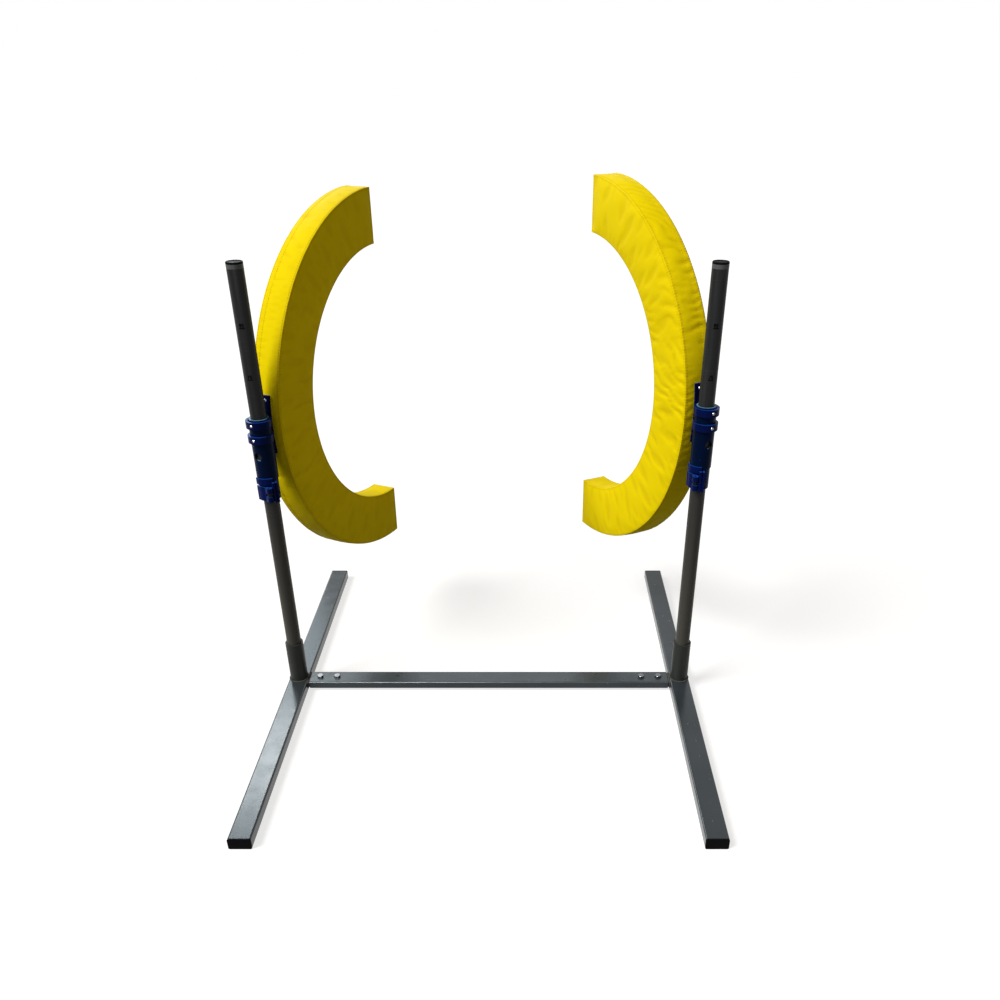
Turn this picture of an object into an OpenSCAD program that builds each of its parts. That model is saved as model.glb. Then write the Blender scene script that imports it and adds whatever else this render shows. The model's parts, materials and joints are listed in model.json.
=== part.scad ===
// Agility tire jump for dogs: a floor frame with two posts, and a padded ring in two halves.
// Each half hangs on a sleeve that turns on its post, above a clamp that sets the height.
// The origin is on the floor midway between the posts. X runs along the crossbar, Y points to
// the back, where the halves are swung open, and Z is up. All sizes are in millimetres.

/* [Pose] */
// Angle by which the left half is swung open to the back
left_open = 68; // [0:1:100]
// Angle by which the right half is swung open to the back
right_open = 65; // [0:1:100]
// Height of the left half's centre above the floor
left_centre_height = 635; // [500:1:850]
// Height of the right half's centre above the floor
right_centre_height = 661; // [500:1:850]
// Angle by which the left clamp's ears are turned from the front
left_clamp_turn = 40; // [-60:1:90]
// Angle by which the right clamp's ears are turned from the front
right_clamp_turn = 0; // [-60:1:90]

/* [Tire halves] */
// Clear diameter of the ring that the dog jumps through, between the inner seams
aperture = 600; // [450:1:620]
// Width of the pad from the inner to the outer seam
tire_width = 118; // [80:1:180]
// Thickness of the pad between the front and the back seams
tire_thickness = 60; // [50:1:100]
// How far the padded faces swell past the seams
face_crown = 3; // [1:0.1:8]
// How far the padded rims swell past the seams
rim_crown = 2; // [1:0.1:5]
// Thickness of the sewn cover
cover_thickness = 1.2; // [0.8:0.1:2]
// Room between the cover and the foam inside it
foam_clearance = 0.3; // [0.2:0.05:0.5]
// Room that each half leaves to the middle when the ring is closed
end_gap = 3; // [2:0.1:6]
// Diameter of the magnet behind each end
magnet_diameter = 24; // [15:1:40]
// Thickness of each magnet
magnet_thickness = 5; // [3:0.5:10]

/* [Mounting board and bracket strip] */
// Depth of the board's face under the top of the rim
board_depth = 8; // [5:0.5:12]
// Thickness of the board that the bracket screws bite into
board_thickness = 9; // [6:0.5:15]
// Width of the board
board_width = 44; // [40:1:48]
// Width of the bracket's strip
strip_width = 21; // [18:0.5:30]
// Thickness of the strip
strip_thickness = 4; // [3:0.1:6]
// Reach of the strip above the half's centre
strip_above = 70; // [60:1:90]
// Reach of the strip below the half's centre
strip_below = 52; // [45:1:70]
// Distance of each bracket screw from its end of the strip
strip_screw_inset = 10; // [8:0.5:12]
// Shank diameter of the screws in the bracket and its bands
screw_diameter = 4; // [3:0.1:5]
// Room round a screw in its hole
screw_clearance = 0.2; // [0.15:0.05:0.3]
// Height of a screw's domed head
screw_head_height = 2.2; // [1.5:0.1:2.5]

/* [Sleeve] */
// Room between a post and what slides or turns on it
slide_clearance = 0.3; // [0.25:0.05:0.5]
// Wall of the sleeve
sleeve_wall = 5.7; // [4:0.1:8]
// Reach of the sleeve above the half's centre
sleeve_above = 33; // [31:1:50]
// Reach of the sleeve below the half's centre
sleeve_below = 98; // [75:1:130]
// Bevel round the mouth of the sleeve
sleeve_bevel = 1.2; // [0.5:0.1:2]
// Diameter of the hole that shows the height mark
window_diameter = 17; // [10:1:20]
// Distance of that hole below the half's centre
window_below = 45; // [35:1:60]
// Height of each band round the sleeve
band_height = 15; // [10:1:16]
// Distance of the upper band's middle above the half's centre
upper_band_above = 23; // [18:0.5:23]
// Distance of the lower band's middle below the half's centre
lower_band_below = 8; // [5:0.5:15]
// Mean wall of a band
band_wall = 3.5; // [3:0.1:5]
// How far a band is set off to its screw side
band_offset = 2.5; // [1.5:0.1:3]
// Depth of the flat seat for a band's screw
band_seat_depth = 1; // [0.6:0.1:1.4]
// Sleeve wall left under the tip of a band's screw
band_screw_margin = 1; // [0.6:0.1:2]

/* [Height clamp] */
// Height of the clamp collar
clamp_height = 46; // [44:1:60]
// Wall of the clamp collar
clamp_wall = 4; // [3:0.1:6]
// Bevel on the collar's edges
clamp_bevel = 1.2; // [0.5:0.1:1.5]
// Height of the flange that carries the collar's lip
flange_height = 8; // [5:0.5:10]
// How far the lip stands up round the sleeve's lower end
lip_height = 7; // [3:0.5:10]
// Wall of the lip
lip_wall = 3; // [2:0.1:4]
// Room between the lip and the sleeve
lip_clearance = 0.4; // [0.3:0.05:0.8]
// Width of the slit that lets the collar close
clamp_slit = 2; // [1.5:0.1:3]
// Thickness of each ear beside the slit
ear_thickness = 4.5; // [3.5:0.1:6]
// Wall of an ear on both sides of the draw bolt
ear_margin = 3; // [2:0.1:4]
// Diameter of the draw bolt through the ears
draw_bolt_diameter = 5; // [4:0.5:6]
// Width across the flats of the nut on the draw bolt
draw_nut_flats = 8; // [7.5:0.5:10]
// Height of the nut on the draw bolt
draw_nut_height = 4; // [3:0.5:6]
// Diameter of the pin that the lever turns on
lever_pin_diameter = 4; // [3:0.5:5]
// Running clearance of that pin in the lever
pin_clearance = 0.06; // [0.03:0.01:0.09]
// Wall of the draw bolt's eye round the pin
eye_wall = 2.5; // [2:0.1:3]
// Wall of the lever's cam beyond the eye
cam_wall = 1.7; // [1.2:0.1:2.5]
// How far the lever's cam is off centre
cam_offset = 1; // [0.5:0.1:1.2]
// Height of the lever
lever_height = 31; // [22:1:33]
// Thickness of the lever's handle
lever_thickness = 3.5; // [3:0.1:5]
// Radius of the bead at the handle's tip
lever_bead = 2.4; // [2:0.1:3]
// Angle round the post from the ears to the handle's tip
lever_sweep = 96; // [80:1:120]

/* [Posts] */
// Outside diameter of a post
post_diameter = 32; // [28:0.5:40]
// Wall of a post
post_wall = 2; // [1.5:0.1:3]
// Height of a post's cap above the floor
post_top = 970; // [920:1:1200]
// Thickness of the post cap's rim
post_cap_thickness = 4; // [3:0.5:8]
// Depth of the cap's plug in the post
post_cap_depth = 20; // [10:1:40]
// Depth of the dish in the cap's top
post_cap_dish = 1.2; // [0.5:0.1:2]
// Wall of a socket
socket_wall = 3.5; // [2.5:0.1:5]
// Height of a socket above its foot
socket_height = 100; // [70:1:150]
// Room round a post in its socket
socket_clearance = 0.5; // [0.3:0.05:0.8]
// Width of the weld bead round a socket
weld_bead = 2; // [1:0.1:3]

/* [Feet and crossbar] */
// Length of a foot over its end caps
foot_length = 1030; // [800:1:1300]
// Width of a foot tube
foot_width = 45; // [44:0.5:60]
// Height of a foot tube
foot_height = 25; // [24:0.5:40]
// Wall of a foot tube
foot_wall = 2; // [1.5:0.1:3]
// Outside corner radius of a foot tube
foot_corner = 3.5; // [3.2:0.1:5]
// Thickness of a foot cap's flange
foot_cap_flange = 3; // [2:0.1:6]
// Depth of a foot cap's plug
foot_cap_depth = 22; // [10:1:40]
// Room round a cap's plug
plug_clearance = 0.15; // [0.1:0.05:0.3]
// Width of the crossbar tube
crossbar_width = 44; // [36:0.5:50]
// Height of the crossbar tube
crossbar_height = 18; // [16:0.5:22]
// Wall of the crossbar tube
crossbar_wall = 1.5; // [1.2:0.1:2]
// Outside corner radius of the crossbar tube
crossbar_corner = 3; // [2.5:0.1:4]
// Room between a foot and the crossbar's end
crossbar_gap = 5; // [2:0.5:10]
// Length of the stub that the crossbar slips over
stub_length = 110; // [90:1:160]
// Wall of a stub
stub_wall = 1.5; // [1.2:0.1:2]
// Room between a stub and the crossbar
stub_clearance = 0.4; // [0.3:0.05:0.6]
// Distance of the first bolt from the crossbar's end
bolt_inset = 22; // [15:1:30]
// Distance between the two bolts at an end
bolt_pitch = 40; // [30:1:50]
// Thread diameter of the crossbar bolts
bolt_diameter = 8; // [6:0.5:10]
// Width across the flats of a bolt head and its nut
bolt_flats = 13; // [11:0.5:16]
// Height of a bolt head
bolt_head_height = 5.3; // [4:0.1:7]
// Height of a weld nut
weld_nut_height = 4; // [3:0.5:6]
// Room round a bolt in its holes
bolt_clearance = 0.4; // [0.2:0.05:0.6]
// Room round a bolt in its nut
thread_clearance = 0.1; // [0.05:0.05:0.15]

/* [Hidden] */
$fn = 96;

// Sides and ends, as signs along X and Y, and how far a cut runs past a face
left = -1;
right = 1;
front = -1;
back = 1;
cut = 1;

// Ring: radii at the seams, at the swelled rim, and the middle of the pad
inner_seam = aperture / 2;
outer_seam = inner_seam + tire_width;
rim_top = outer_seam + rim_crown;
pad_middle = inner_seam + tire_width / 2;

// Radii round a post, from the inside out
post_r = post_diameter / 2;
bore_r = post_r + slide_clearance;
sleeve_r = bore_r + sleeve_wall;
clamp_r = bore_r + clamp_wall;
band_r = sleeve_r + band_wall;
bracket_fit = 0.1;
web_width = strip_width * 2 / 3;

// Distances from a post's axis: to the rim, and to the ring's centre
strip_room = 0.8;
seat_gap = 0.2;
rim_standoff = sleeve_r + strip_room + strip_thickness + seat_gap;
ring_offset = rim_standoff + rim_top;
post_spacing = 2 * (ring_offset + end_gap);

// Bracket screws, measured from the half's centre and from the top of the rim
screw_r = screw_diameter / 2;
screw_head_r = screw_diameter;
screw_heights = [strip_above - strip_screw_inset, strip_screw_inset - strip_below];
band_middles = [upper_band_above, -lower_band_below];
band_screw_seat = band_r + band_offset - band_seat_depth;
band_screw_bite = sleeve_wall - band_screw_margin;

// Clamp: heights from the half's centre, and places round the post with the ears at the front
thrust_gap = 0.2;
clamp_top = -sleeve_below - thrust_gap;
clamp_bottom = clamp_top - clamp_height;
lever_level = (clamp_top - flange_height + clamp_bottom) / 2;
lip_inner = sleeve_r + lip_clearance;
ear_angle = 270;
ear_out = clamp_slit / 2 + ear_thickness;
draw_bolt_r = draw_bolt_diameter / 2;
draw_line = clamp_r + draw_bolt_r + ear_margin;
ear_reach = draw_line + draw_bolt_r + ear_margin;
lever_pin_r = lever_pin_diameter / 2;
eye_r = lever_pin_r + eye_wall;
eye_shoulder = 1;
eye_height = draw_bolt_diameter + 2 * eye_shoulder;
cam_r = eye_r + cam_wall;
lever_gap = 0.3;
lever_room = 0.6;
lever_pin_x = -(ear_out + lever_gap + cam_r + cam_offset);
handle_r = clamp_r + lever_room;
handle_root_r = lever_thickness * 0.4;
bead_line = handle_r + lever_bead * 0.9;
lever_tip = ear_angle - lever_sweep;
lever_root = ear_angle - lever_sweep / 2;

// Floor frame
foot_tube_length = foot_length - 2 * foot_cap_flange;
post_base = foot_height;
post_tube_top = post_top - post_cap_thickness;
socket_r = post_r + socket_clearance + socket_wall;
crossbar_rise = foot_height - crossbar_height;
crossbar_length = post_spacing - foot_width - 2 * crossbar_gap;
stub_width = crossbar_width - 2 * (crossbar_wall + stub_clearance);
stub_height = crossbar_height - 2 * (crossbar_wall + stub_clearance);
stub_corner = crossbar_corner - crossbar_wall + stub_wall / 2;
stub_top = foot_height - crossbar_wall - stub_clearance;
nut_top = stub_top - stub_wall;
bolt_places = [bolt_inset, bolt_inset + bolt_pitch];
bolt_tail = 1;

// Colours
steel = [0.55, 0.60, 0.64];
dark_steel = [0.20, 0.21, 0.22];
zinc = [0.75, 0.76, 0.78];
black_plastic = [0.04, 0.04, 0.05];
blue_plastic = [0.03, 0.08, 0.36];
navy_plastic = [0.02, 0.03, 0.12];
yellow_cloth = [0.93, 0.78, 0.05];
foam_grey = [0.60, 0.60, 0.58];
plywood = [0.72, 0.55, 0.36];

// Names of the pieces, and the one to draw

function centre_height(side) = side == left ? left_centre_height : right_centre_height;
function half_angle(side) = side == left ? left_open : 180 - right_open;
function clamp_turn(side) = side == left ? left_clamp_turn : right_clamp_turn;
function flats_r(flats) = flats / 2 / cos(30);

// Frames of reference

// On a post's axis, level with the centre of its half
module at_post(side) {
  translate([side * post_spacing / 2, 0, centre_height(side)])
    children();
}

// As at_post, turned with the half: X points from the post to the ring's centre
module at_half(side) {
  at_post(side)
    rotate([0, 0, half_angle(side)])
      children();
}

// As at_post, turned with the clamp: its ears face -Y
module at_clamp(side) {
  at_post(side)
    rotate([0, 0, clamp_turn(side)])
      children();
}

// On the pin of the clamp's lever, level with the lever's middle
module at_lever_pin(side) {
  at_clamp(side)
    translate([lever_pin_x, -draw_line, lever_level])
      children();
}

// Standing out of the rim at a height from the half's centre: Z points to the post
module at_rim(height) {
  translate([ring_offset, 0, 0])
    rotate([0, asin(height / rim_top), 0])
      translate([-rim_top, 0, 0])
        rotate([0, -90, 0])
          children();
}

// On the outer side of a band, away from the pad: Z points outwards
module at_band(height) {
  translate([0, 0, height])
    rotate([0, -90, 0])
      children();
}

// At each crossbar bolt, on the top of the crossbar
module at_bolts() {
  for (side = [left, right], place = bolt_places)
    translate([side * (crossbar_length / 2 - place), 0, foot_height])
      children();
}

// Shared shapes

// Rectangle with round corners, centred
module round_rect(width, height, radius) {
  square([width - 2 * radius, height], center = true);
  square([width, height - 2 * radius], center = true);
  for (x = [-1, 1], y = [-1, 1])
    translate([x * (width / 2 - radius), y * (height / 2 - radius)])
      circle(r = radius, $fn = 48);
}

// Section of a rectangular tube
module tube_section(width, height, wall, radius) {
  difference() {
    round_rect(width, height, radius);
    round_rect(width - 2 * wall, height - 2 * wall, radius - wall);
  }
}

// Bar of a flat section along X, centred on its length
module along_x(length) {
  translate([-length / 2, 0, 0])
    rotate([90, 0, 90])
      linear_extrude(length)
        children();
}

// Bar of a flat section along Y, centred on its length
module along_y(length) {
  translate([0, length / 2, 0])
    rotate([90, 0, 0])
      linear_extrude(length)
        children();
}

// Round tube with a bevel on both outer edges, standing on z = 0
module bevelled_tube(inner, outer, height, bevel) {
  rotate_extrude()
    polygon([
      [inner, 0], [outer - bevel, 0], [outer, bevel],
      [outer, height - bevel], [outer - bevel, height], [inner, height]
    ]);
}

// Hexagonal prism with its top corners turned off, standing on z = 0
module hexagon(flats, height) {
  corner = flats_r(flats);
  intersection() {
    cylinder(r = corner, h = height, $fn = 6);
    rotate_extrude()
      polygon([[0, 0], [corner + cut, 0], [corner + cut, height / 2], [flats / 2, height], [0, height]]);
  }
}

// Screw with a domed head that seats on z = 0, its shank pointing down
module screw(length) {
  dome_r = arc_r(2 * screw_head_r, screw_head_height);
  translate([0, 0, -length])
    cylinder(r = screw_r, h = length + screw_head_height / 2);
  intersection() {
    translate([0, 0, screw_head_height - dome_r])
      sphere(r = dome_r);
    cylinder(r = screw_head_r, h = screw_head_height + cut);
  }
}

// Radius of an arc that rises over a chord
function arc_r(chord, rise) = (pow(chord / 2, 2) + pow(rise, 2)) / (2 * rise);

// Section of a pad, drawn in from its skin: X is the radius from the ring's axis, Y the thickness.
// Four large discs cross at the seams, so that both faces and both rims swell between them.
module pad_section(inset) {
  width = tire_width - 2 * inset;
  thickness = tire_thickness - 2 * inset;
  face_r = arc_r(width, face_crown);
  rim_r = arc_r(thickness, rim_crown);
  translate([pad_middle, 0])
    intersection_for (side = [-1, 1])
      intersection() {
        translate([0, side * (thickness / 2 + face_crown - face_r)])
          circle(r = face_r, $fn = 360);
        translate([side * (width / 2 + rim_crown - rim_r), 0])
          rotate(90)
            circle(r = rim_r, $fn = 360);
      }
}

// Half ring of a pad, drawn in from its skin and from its two ends
module half_ring(inset) {
  reach = rim_top + cut;
  translate([ring_offset, 0, 0])
    rotate([90, 0, 0])
      difference() {
        rotate([0, 0, 90])
          rotate_extrude(angle = 180, $fn = 180)
            pad_section(inset);
        if (inset > 0)
          translate([-inset, -reach, -reach])
            cube([reach, 2 * reach, 2 * reach]);
      }
}

// Curved slab that follows the rim between two radii, over the strip's height
module rim_slab(inner, outer, width, margin) {
  intersection() {
    translate([ring_offset, 0, 0])
      rotate([90, 0, 0])
        difference() {
          cylinder(r = outer, h = width, center = true, $fn = 180);
          cylinder(r = inner, h = width + 2 * cut, center = true, $fn = 180);
        }
    translate([0, -width, -strip_below - margin])
      cube([ring_offset, 2 * width, strip_above + strip_below + 2 * margin]);
  }
}

// The board that the bracket screws bite into, with a margin for its pocket
module board_shape(margin) {
  face = rim_top - board_depth;
  rim_slab(face - board_thickness - margin, face + margin, board_width + 2 * margin, margin);
}

// A magnet behind each end of a half, with a margin for its pocket
module magnet_shape(margin) {
  end = ring_offset - cover_thickness - foam_clearance;
  for (level = [-1, 1])
    translate([end + margin, 0, level * pad_middle])
      rotate([0, -90, 0])
        cylinder(r = magnet_diameter / 2 + margin, h = magnet_thickness + 2 * margin);
}

// Holes for the bracket screws
module bracket_screw_holes() {
  depth = board_depth + board_thickness + cut;
  for (height = screw_heights)
    at_rim(height)
      translate([0, 0, -depth])
        cylinder(r = screw_r + screw_clearance, h = depth + rim_standoff, $fn = 48);
}

// Holes for the band screws
module band_screw_holes() {
  inside = sleeve_r - band_screw_bite - screw_clearance;
  for (height = band_middles)
    at_band(height)
      translate([0, 0, inside])
        cylinder(r = screw_r + screw_clearance, h = band_r + band_offset, $fn = 48);
}

// Floor frame

// Foot: a rectangular tube along Y
module foot(side) {
  color(steel)
    translate([side * post_spacing / 2, 0, foot_height / 2])
      along_y(foot_tube_length)
        tube_section(foot_width, foot_height, foot_wall, foot_corner);
}

// Plastic cap in the end of a foot
module foot_cap(side, end) {
  inside = foot_wall + plug_clearance;
  color(black_plastic)
    translate([side * post_spacing / 2, 0, foot_height / 2]) {
      translate([0, end * (foot_tube_length + foot_cap_flange) / 2, 0])
        along_y(foot_cap_flange)
          round_rect(foot_width, foot_height, foot_corner);
      translate([0, end * (foot_tube_length - foot_cap_depth) / 2, 0])
        along_y(foot_cap_depth)
          round_rect(foot_width - 2 * inside, foot_height - 2 * inside, foot_corner - foot_wall);
    }
}

// Tube welded on the foot, which the post stands in
module socket(side) {
  color(dark_steel)
    translate([side * post_spacing / 2, 0, foot_height])
      rotate_extrude()
        polygon([
          [post_r + socket_clearance, 0], [socket_r + weld_bead, 0], [socket_r, weld_bead],
          [socket_r, socket_height], [post_r + socket_clearance, socket_height]
        ]);
}

// Short tube welded to the foot's inner side, which the crossbar slips over
module crossbar_stub(side) {
  color(dark_steel)
    difference() {
      translate([side * (post_spacing / 2 - foot_width / 2 - stub_length / 2), 0, stub_top - stub_height / 2])
        along_x(stub_length)
          tube_section(stub_width, stub_height, stub_wall, stub_corner);
      bolt_holes();
    }
}

// Tube that joins the two feet
module crossbar() {
  color(steel)
    difference() {
      translate([0, 0, crossbar_rise + crossbar_height / 2])
        along_x(crossbar_length)
          tube_section(crossbar_width, crossbar_height, crossbar_wall, crossbar_corner);
      bolt_holes();
    }
}

// Holes for the crossbar bolts, through the upper walls of the crossbar and the stubs
module bolt_holes() {
  at_bolts()
    translate([0, 0, nut_top - foot_height - cut])
      cylinder(r = bolt_diameter / 2 + bolt_clearance, h = foot_height - nut_top + 2 * cut, $fn = 48);
}

// Hexagon bolts that hold the crossbar on the stubs
module crossbar_bolts() {
  length = foot_height - nut_top + weld_nut_height + bolt_tail;
  color(zinc)
    at_bolts() {
      hexagon(bolt_flats, bolt_head_height);
      translate([0, 0, -length])
        cylinder(r = bolt_diameter / 2, h = length + bolt_head_height / 2, $fn = 48);
    }
}

// Nuts welded under the upper wall of each stub
module crossbar_weld_nuts() {
  color(zinc)
    at_bolts()
      translate([0, 0, nut_top - foot_height - weld_nut_height])
        difference() {
          cylinder(r = flats_r(bolt_flats), h = weld_nut_height, $fn = 6);
          translate([0, 0, -cut])
            cylinder(r = bolt_diameter / 2 + thread_clearance, h = weld_nut_height + 2 * cut, $fn = 48);
        }
}

// Posts

// Round tube that stands in the socket
module post(side) {
  color(dark_steel)
    translate([side * post_spacing / 2, 0, post_base])
      difference() {
        cylinder(r = post_r, h = post_tube_top - post_base);
        translate([0, 0, -cut])
          cylinder(r = post_r - post_wall, h = post_tube_top - post_base + 2 * cut);
      }
}

// Plastic plug with a dished top, flush with the post
module post_cap(side) {
  plug_r = post_r - post_wall - plug_clearance;
  dish_r = post_r - post_wall;
  bevel = post_cap_thickness / 4;
  color(black_plastic)
    translate([side * post_spacing / 2, 0, post_tube_top])
      rotate_extrude()
        polygon([
          [0, -post_cap_depth], [plug_r, -post_cap_depth], [plug_r, 0], [post_r, 0],
          [post_r, post_cap_thickness - bevel], [post_r - bevel, post_cap_thickness],
          [dish_r, post_cap_thickness], [dish_r - post_cap_dish, post_cap_thickness - post_cap_dish],
          [0, post_cap_thickness - post_cap_dish]
        ]);
}

// Height clamp

// Split collar with two ears, which grips the post under the sleeve
module clamp_collar(side) {
  ear_root = clamp_r - clamp_wall / 2;
  ear_height = clamp_height - clamp_bevel;
  color(blue_plastic)
    at_clamp(side)
      difference() {
        union() {
          translate([0, 0, clamp_bottom])
            bevelled_tube(bore_r, clamp_r, clamp_height, clamp_bevel);
          translate([-ear_out, -ear_reach, clamp_bottom])
            cube([2 * ear_out, ear_reach - ear_root, ear_height]);
          clamp_lip();
        }
        translate([-clamp_slit / 2, -ear_reach - cut, clamp_bottom - cut])
          cube([clamp_slit, ear_reach + cut, clamp_height + lip_height + 2 * cut]);
        translate([-ear_out - cut, -draw_line, lever_level])
          rotate([0, 90, 0])
            cylinder(r = draw_bolt_r + screw_clearance, h = 2 * (ear_out + cut), $fn = 48);
      }
}

// Flange over the lever and lip round the sleeve's lower end, from the ears to the lever's tip
module clamp_lip() {
  root = clamp_r - clamp_wall / 2;
  outer = lip_inner + lip_wall;
  translate([0, 0, clamp_top])
    rotate([0, 0, lever_tip])
      rotate_extrude(angle = lever_sweep)
        polygon([
          [root, -flange_height], [outer - clamp_bevel, -flange_height], [outer, clamp_bevel - flange_height],
          [outer, lip_height], [lip_inner, lip_height], [lip_inner, 0], [root, 0]
        ]);
}

// Bolt that draws the ears together, with an eye for the lever's pin
module draw_bolt(side) {
  reach = ear_out + draw_nut_height + bolt_tail;
  color(zinc)
    at_lever_pin(side)
      difference() {
        union() {
          cylinder(r = eye_r, h = eye_height, center = true, $fn = 48);
          rotate([0, 90, 0])
            cylinder(r = draw_bolt_r, h = reach - lever_pin_x, $fn = 48);
        }
        cylinder(r = lever_pin_r + pin_clearance, h = eye_height + 2 * cut, center = true, $fn = 48);
      }
}

// Nut on the far end of the draw bolt
module draw_nut(side) {
  color(zinc)
    at_clamp(side)
      translate([ear_out, -draw_line, lever_level])
        rotate([0, 90, 0])
          difference() {
            cylinder(r = flats_r(draw_nut_flats), h = draw_nut_height, $fn = 6);
            translate([0, 0, -cut])
              cylinder(r = draw_bolt_r + thread_clearance, h = draw_nut_height + 2 * cut, $fn = 48);
          }
}

// Pin that the lever turns on
module lever_pin(side) {
  color(zinc)
    at_lever_pin(side)
      cylinder(r = lever_pin_r, h = lever_height, center = true, $fn = 48);
}

// Outline of the lever seen from above: an off-centre cam, and a handle that hugs the collar
module lever_outline() {
  handle_middle = handle_r + lever_thickness / 2;
  hull() {
    translate([lever_pin_x + cam_offset, -draw_line])
      circle(r = cam_r, $fn = 48);
    rotate(lever_root)
      translate([handle_middle, 0])
        circle(r = handle_root_r, $fn = 32);
  }
  intersection() {
    difference() {
      circle(r = handle_r + lever_thickness);
      circle(r = handle_r);
    }
    pie(lever_tip, lever_root, 2 * ear_reach);
  }
  rotate(lever_tip)
    translate([bead_line, 0])
      circle(r = lever_bead, $fn = 32);
}

// Wedge from the centre between two angles
module pie(from, to, radius) {
  polygon([
    [0, 0],
    for (angle = [from, (from + to) / 2, to])
      [radius * cos(angle), radius * sin(angle)]
  ]);
}

// Cam lever that closes the clamp, forked over the eye of the draw bolt
module clamp_lever(side) {
  slot = eye_height + 2 * lever_gap;
  color(blue_plastic)
    difference() {
      at_clamp(side)
        translate([0, 0, lever_level - lever_height / 2])
          linear_extrude(lever_height)
            difference() {
              lever_outline();
              circle(r = handle_r);
            }
      at_lever_pin(side) {
        cylinder(r = cam_r + cam_offset + cut, h = slot, center = true, $fn = 48);
        cylinder(r = lever_pin_r + pin_clearance, h = lever_height + 2 * cut, center = true, $fn = 48);
      }
    }
}

// Sleeve and bracket

// Tube that turns on the post, with a hole that shows the height mark
module sleeve(side) {
  color(blue_plastic)
    at_half(side)
      difference() {
        translate([0, 0, -sleeve_below])
          bevelled_tube(bore_r, sleeve_r, sleeve_above + sleeve_below, sleeve_bevel);
        at_band(-window_below)
          cylinder(r = window_diameter / 2, h = sleeve_r + cut, $fn = 48);
        band_screw_holes();
      }
}

// Strip against the pad with two bands round the sleeve, moulded in one piece
module hinge_bracket(side) {
  web = rim_standoff - seat_gap - strip_thickness / 2;
  color(navy_plastic)
    at_half(side)
      difference() {
        union() {
          rim_slab(rim_top + seat_gap, rim_top + seat_gap + strip_thickness, strip_width, 0);
          for (height = band_middles)
            translate([0, 0, height]) {
              translate([-band_offset, 0, 0])
                cylinder(r = band_r, h = band_height, center = true);
              translate([0, -web_width / 2, -band_height / 2])
                cube([web, web_width, band_height]);
            }
        }
        translate([0, 0, -strip_below - cut])
          cylinder(r = sleeve_r + bracket_fit, h = strip_above + strip_below + 2 * cut);
        for (height = band_middles)
          at_band(height)
            translate([0, 0, band_screw_seat])
              cylinder(r = screw_head_r + screw_clearance, h = band_r, $fn = 48);
        band_screw_holes();
        bracket_screw_holes();
      }
}

// Screws through the bands into the sleeve
module band_screws(side) {
  color(zinc)
    at_half(side)
      for (height = band_middles)
        at_band(height)
          translate([0, 0, band_screw_seat])
            screw(band_screw_seat - sleeve_r + band_screw_bite);
}

// Screws through the strip into the mounting board
module bracket_screws(side) {
  seat = seat_gap + strip_thickness;
  color(zinc)
    at_half(side)
      for (height = screw_heights)
        at_rim(height)
          translate([0, 0, seat])
            screw(seat + board_depth + board_thickness);
}

// Padded halves

// Sewn cover of a half
module cover(side) {
  color(yellow_cloth)
    at_half(side)
      difference() {
        half_ring(0);
        half_ring(cover_thickness);
        bracket_screw_holes();
      }
}

// Foam that fills the cover, with pockets for the board and the magnets
module foam_core(side) {
  color(foam_grey)
    at_half(side)
      difference() {
        half_ring(cover_thickness + foam_clearance);
        board_shape(foam_clearance);
        magnet_shape(foam_clearance);
        bracket_screw_holes();
      }
}

// Board inside the foam that the bracket is screwed to
module mounting_board(side) {
  color(plywood)
    at_half(side)
      difference() {
        board_shape(0);
        bracket_screw_holes();
      }
}

// Magnets that hold the two halves together when the ring is closed
module end_magnets(side) {
  color(zinc)
    at_half(side)
      magnet_shape(0);
}

foot(left);  // left_foot
foot(right);  // right_foot
foot_cap(left, front);  // left_front_foot_cap
foot_cap(left, back);  // left_back_foot_cap
foot_cap(right, front);  // right_front_foot_cap
foot_cap(right, back);  // right_back_foot_cap
socket(left);  // left_socket
socket(right);  // right_socket
crossbar_stub(left);  // left_crossbar_stub
crossbar_stub(right);  // right_crossbar_stub
crossbar();
crossbar_bolts();
crossbar_weld_nuts();
post(left);  // left_post
post(right);  // right_post
post_cap(left);  // left_post_cap
post_cap(right);  // right_post_cap
clamp_collar(left);  // left_clamp_collar
clamp_collar(right);  // right_clamp_collar
clamp_lever(left);  // left_clamp_lever
clamp_lever(right);  // right_clamp_lever
lever_pin(left);  // left_lever_pin
lever_pin(right);  // right_lever_pin
draw_bolt(left);  // left_draw_bolt
draw_bolt(right);  // right_draw_bolt
draw_nut(left);  // left_draw_nut
draw_nut(right);  // right_draw_nut
sleeve(left);  // left_sleeve
sleeve(right);  // right_sleeve
hinge_bracket(left);  // left_hinge_bracket
hinge_bracket(right);  // right_hinge_bracket
band_screws(left);  // left_band_screws
band_screws(right);  // right_band_screws
bracket_screws(left);  // left_bracket_screws
bracket_screws(right);  // right_bracket_screws
cover(left);  // left_cover
cover(right);  // right_cover
foam_core(left);  // left_foam_core
foam_core(right);  // right_foam_core
mounting_board(left);  // left_mounting_board
mounting_board(right);  // right_mounting_board
end_magnets(left);  // left_end_magnets
end_magnets(right);  // right_end_magnets
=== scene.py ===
# %% [markdown]
# # A tire jump for dog agility
# A steel floor frame carries two posts, and on each post hangs one half of a padded ring. The rigid
# pieces come from the packed CAD model, so this lesson gives them their finishes, and makes what CAD
# leaves plain: the sewn pads, their stitches, the screws, the welds, and the marks on sleeves and posts.

import json
import math
from collections import namedtuple

import bpy
import numpy as np
from mathutils import Matrix, Vector
from mathutils.bvhtree import BVHTree


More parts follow.
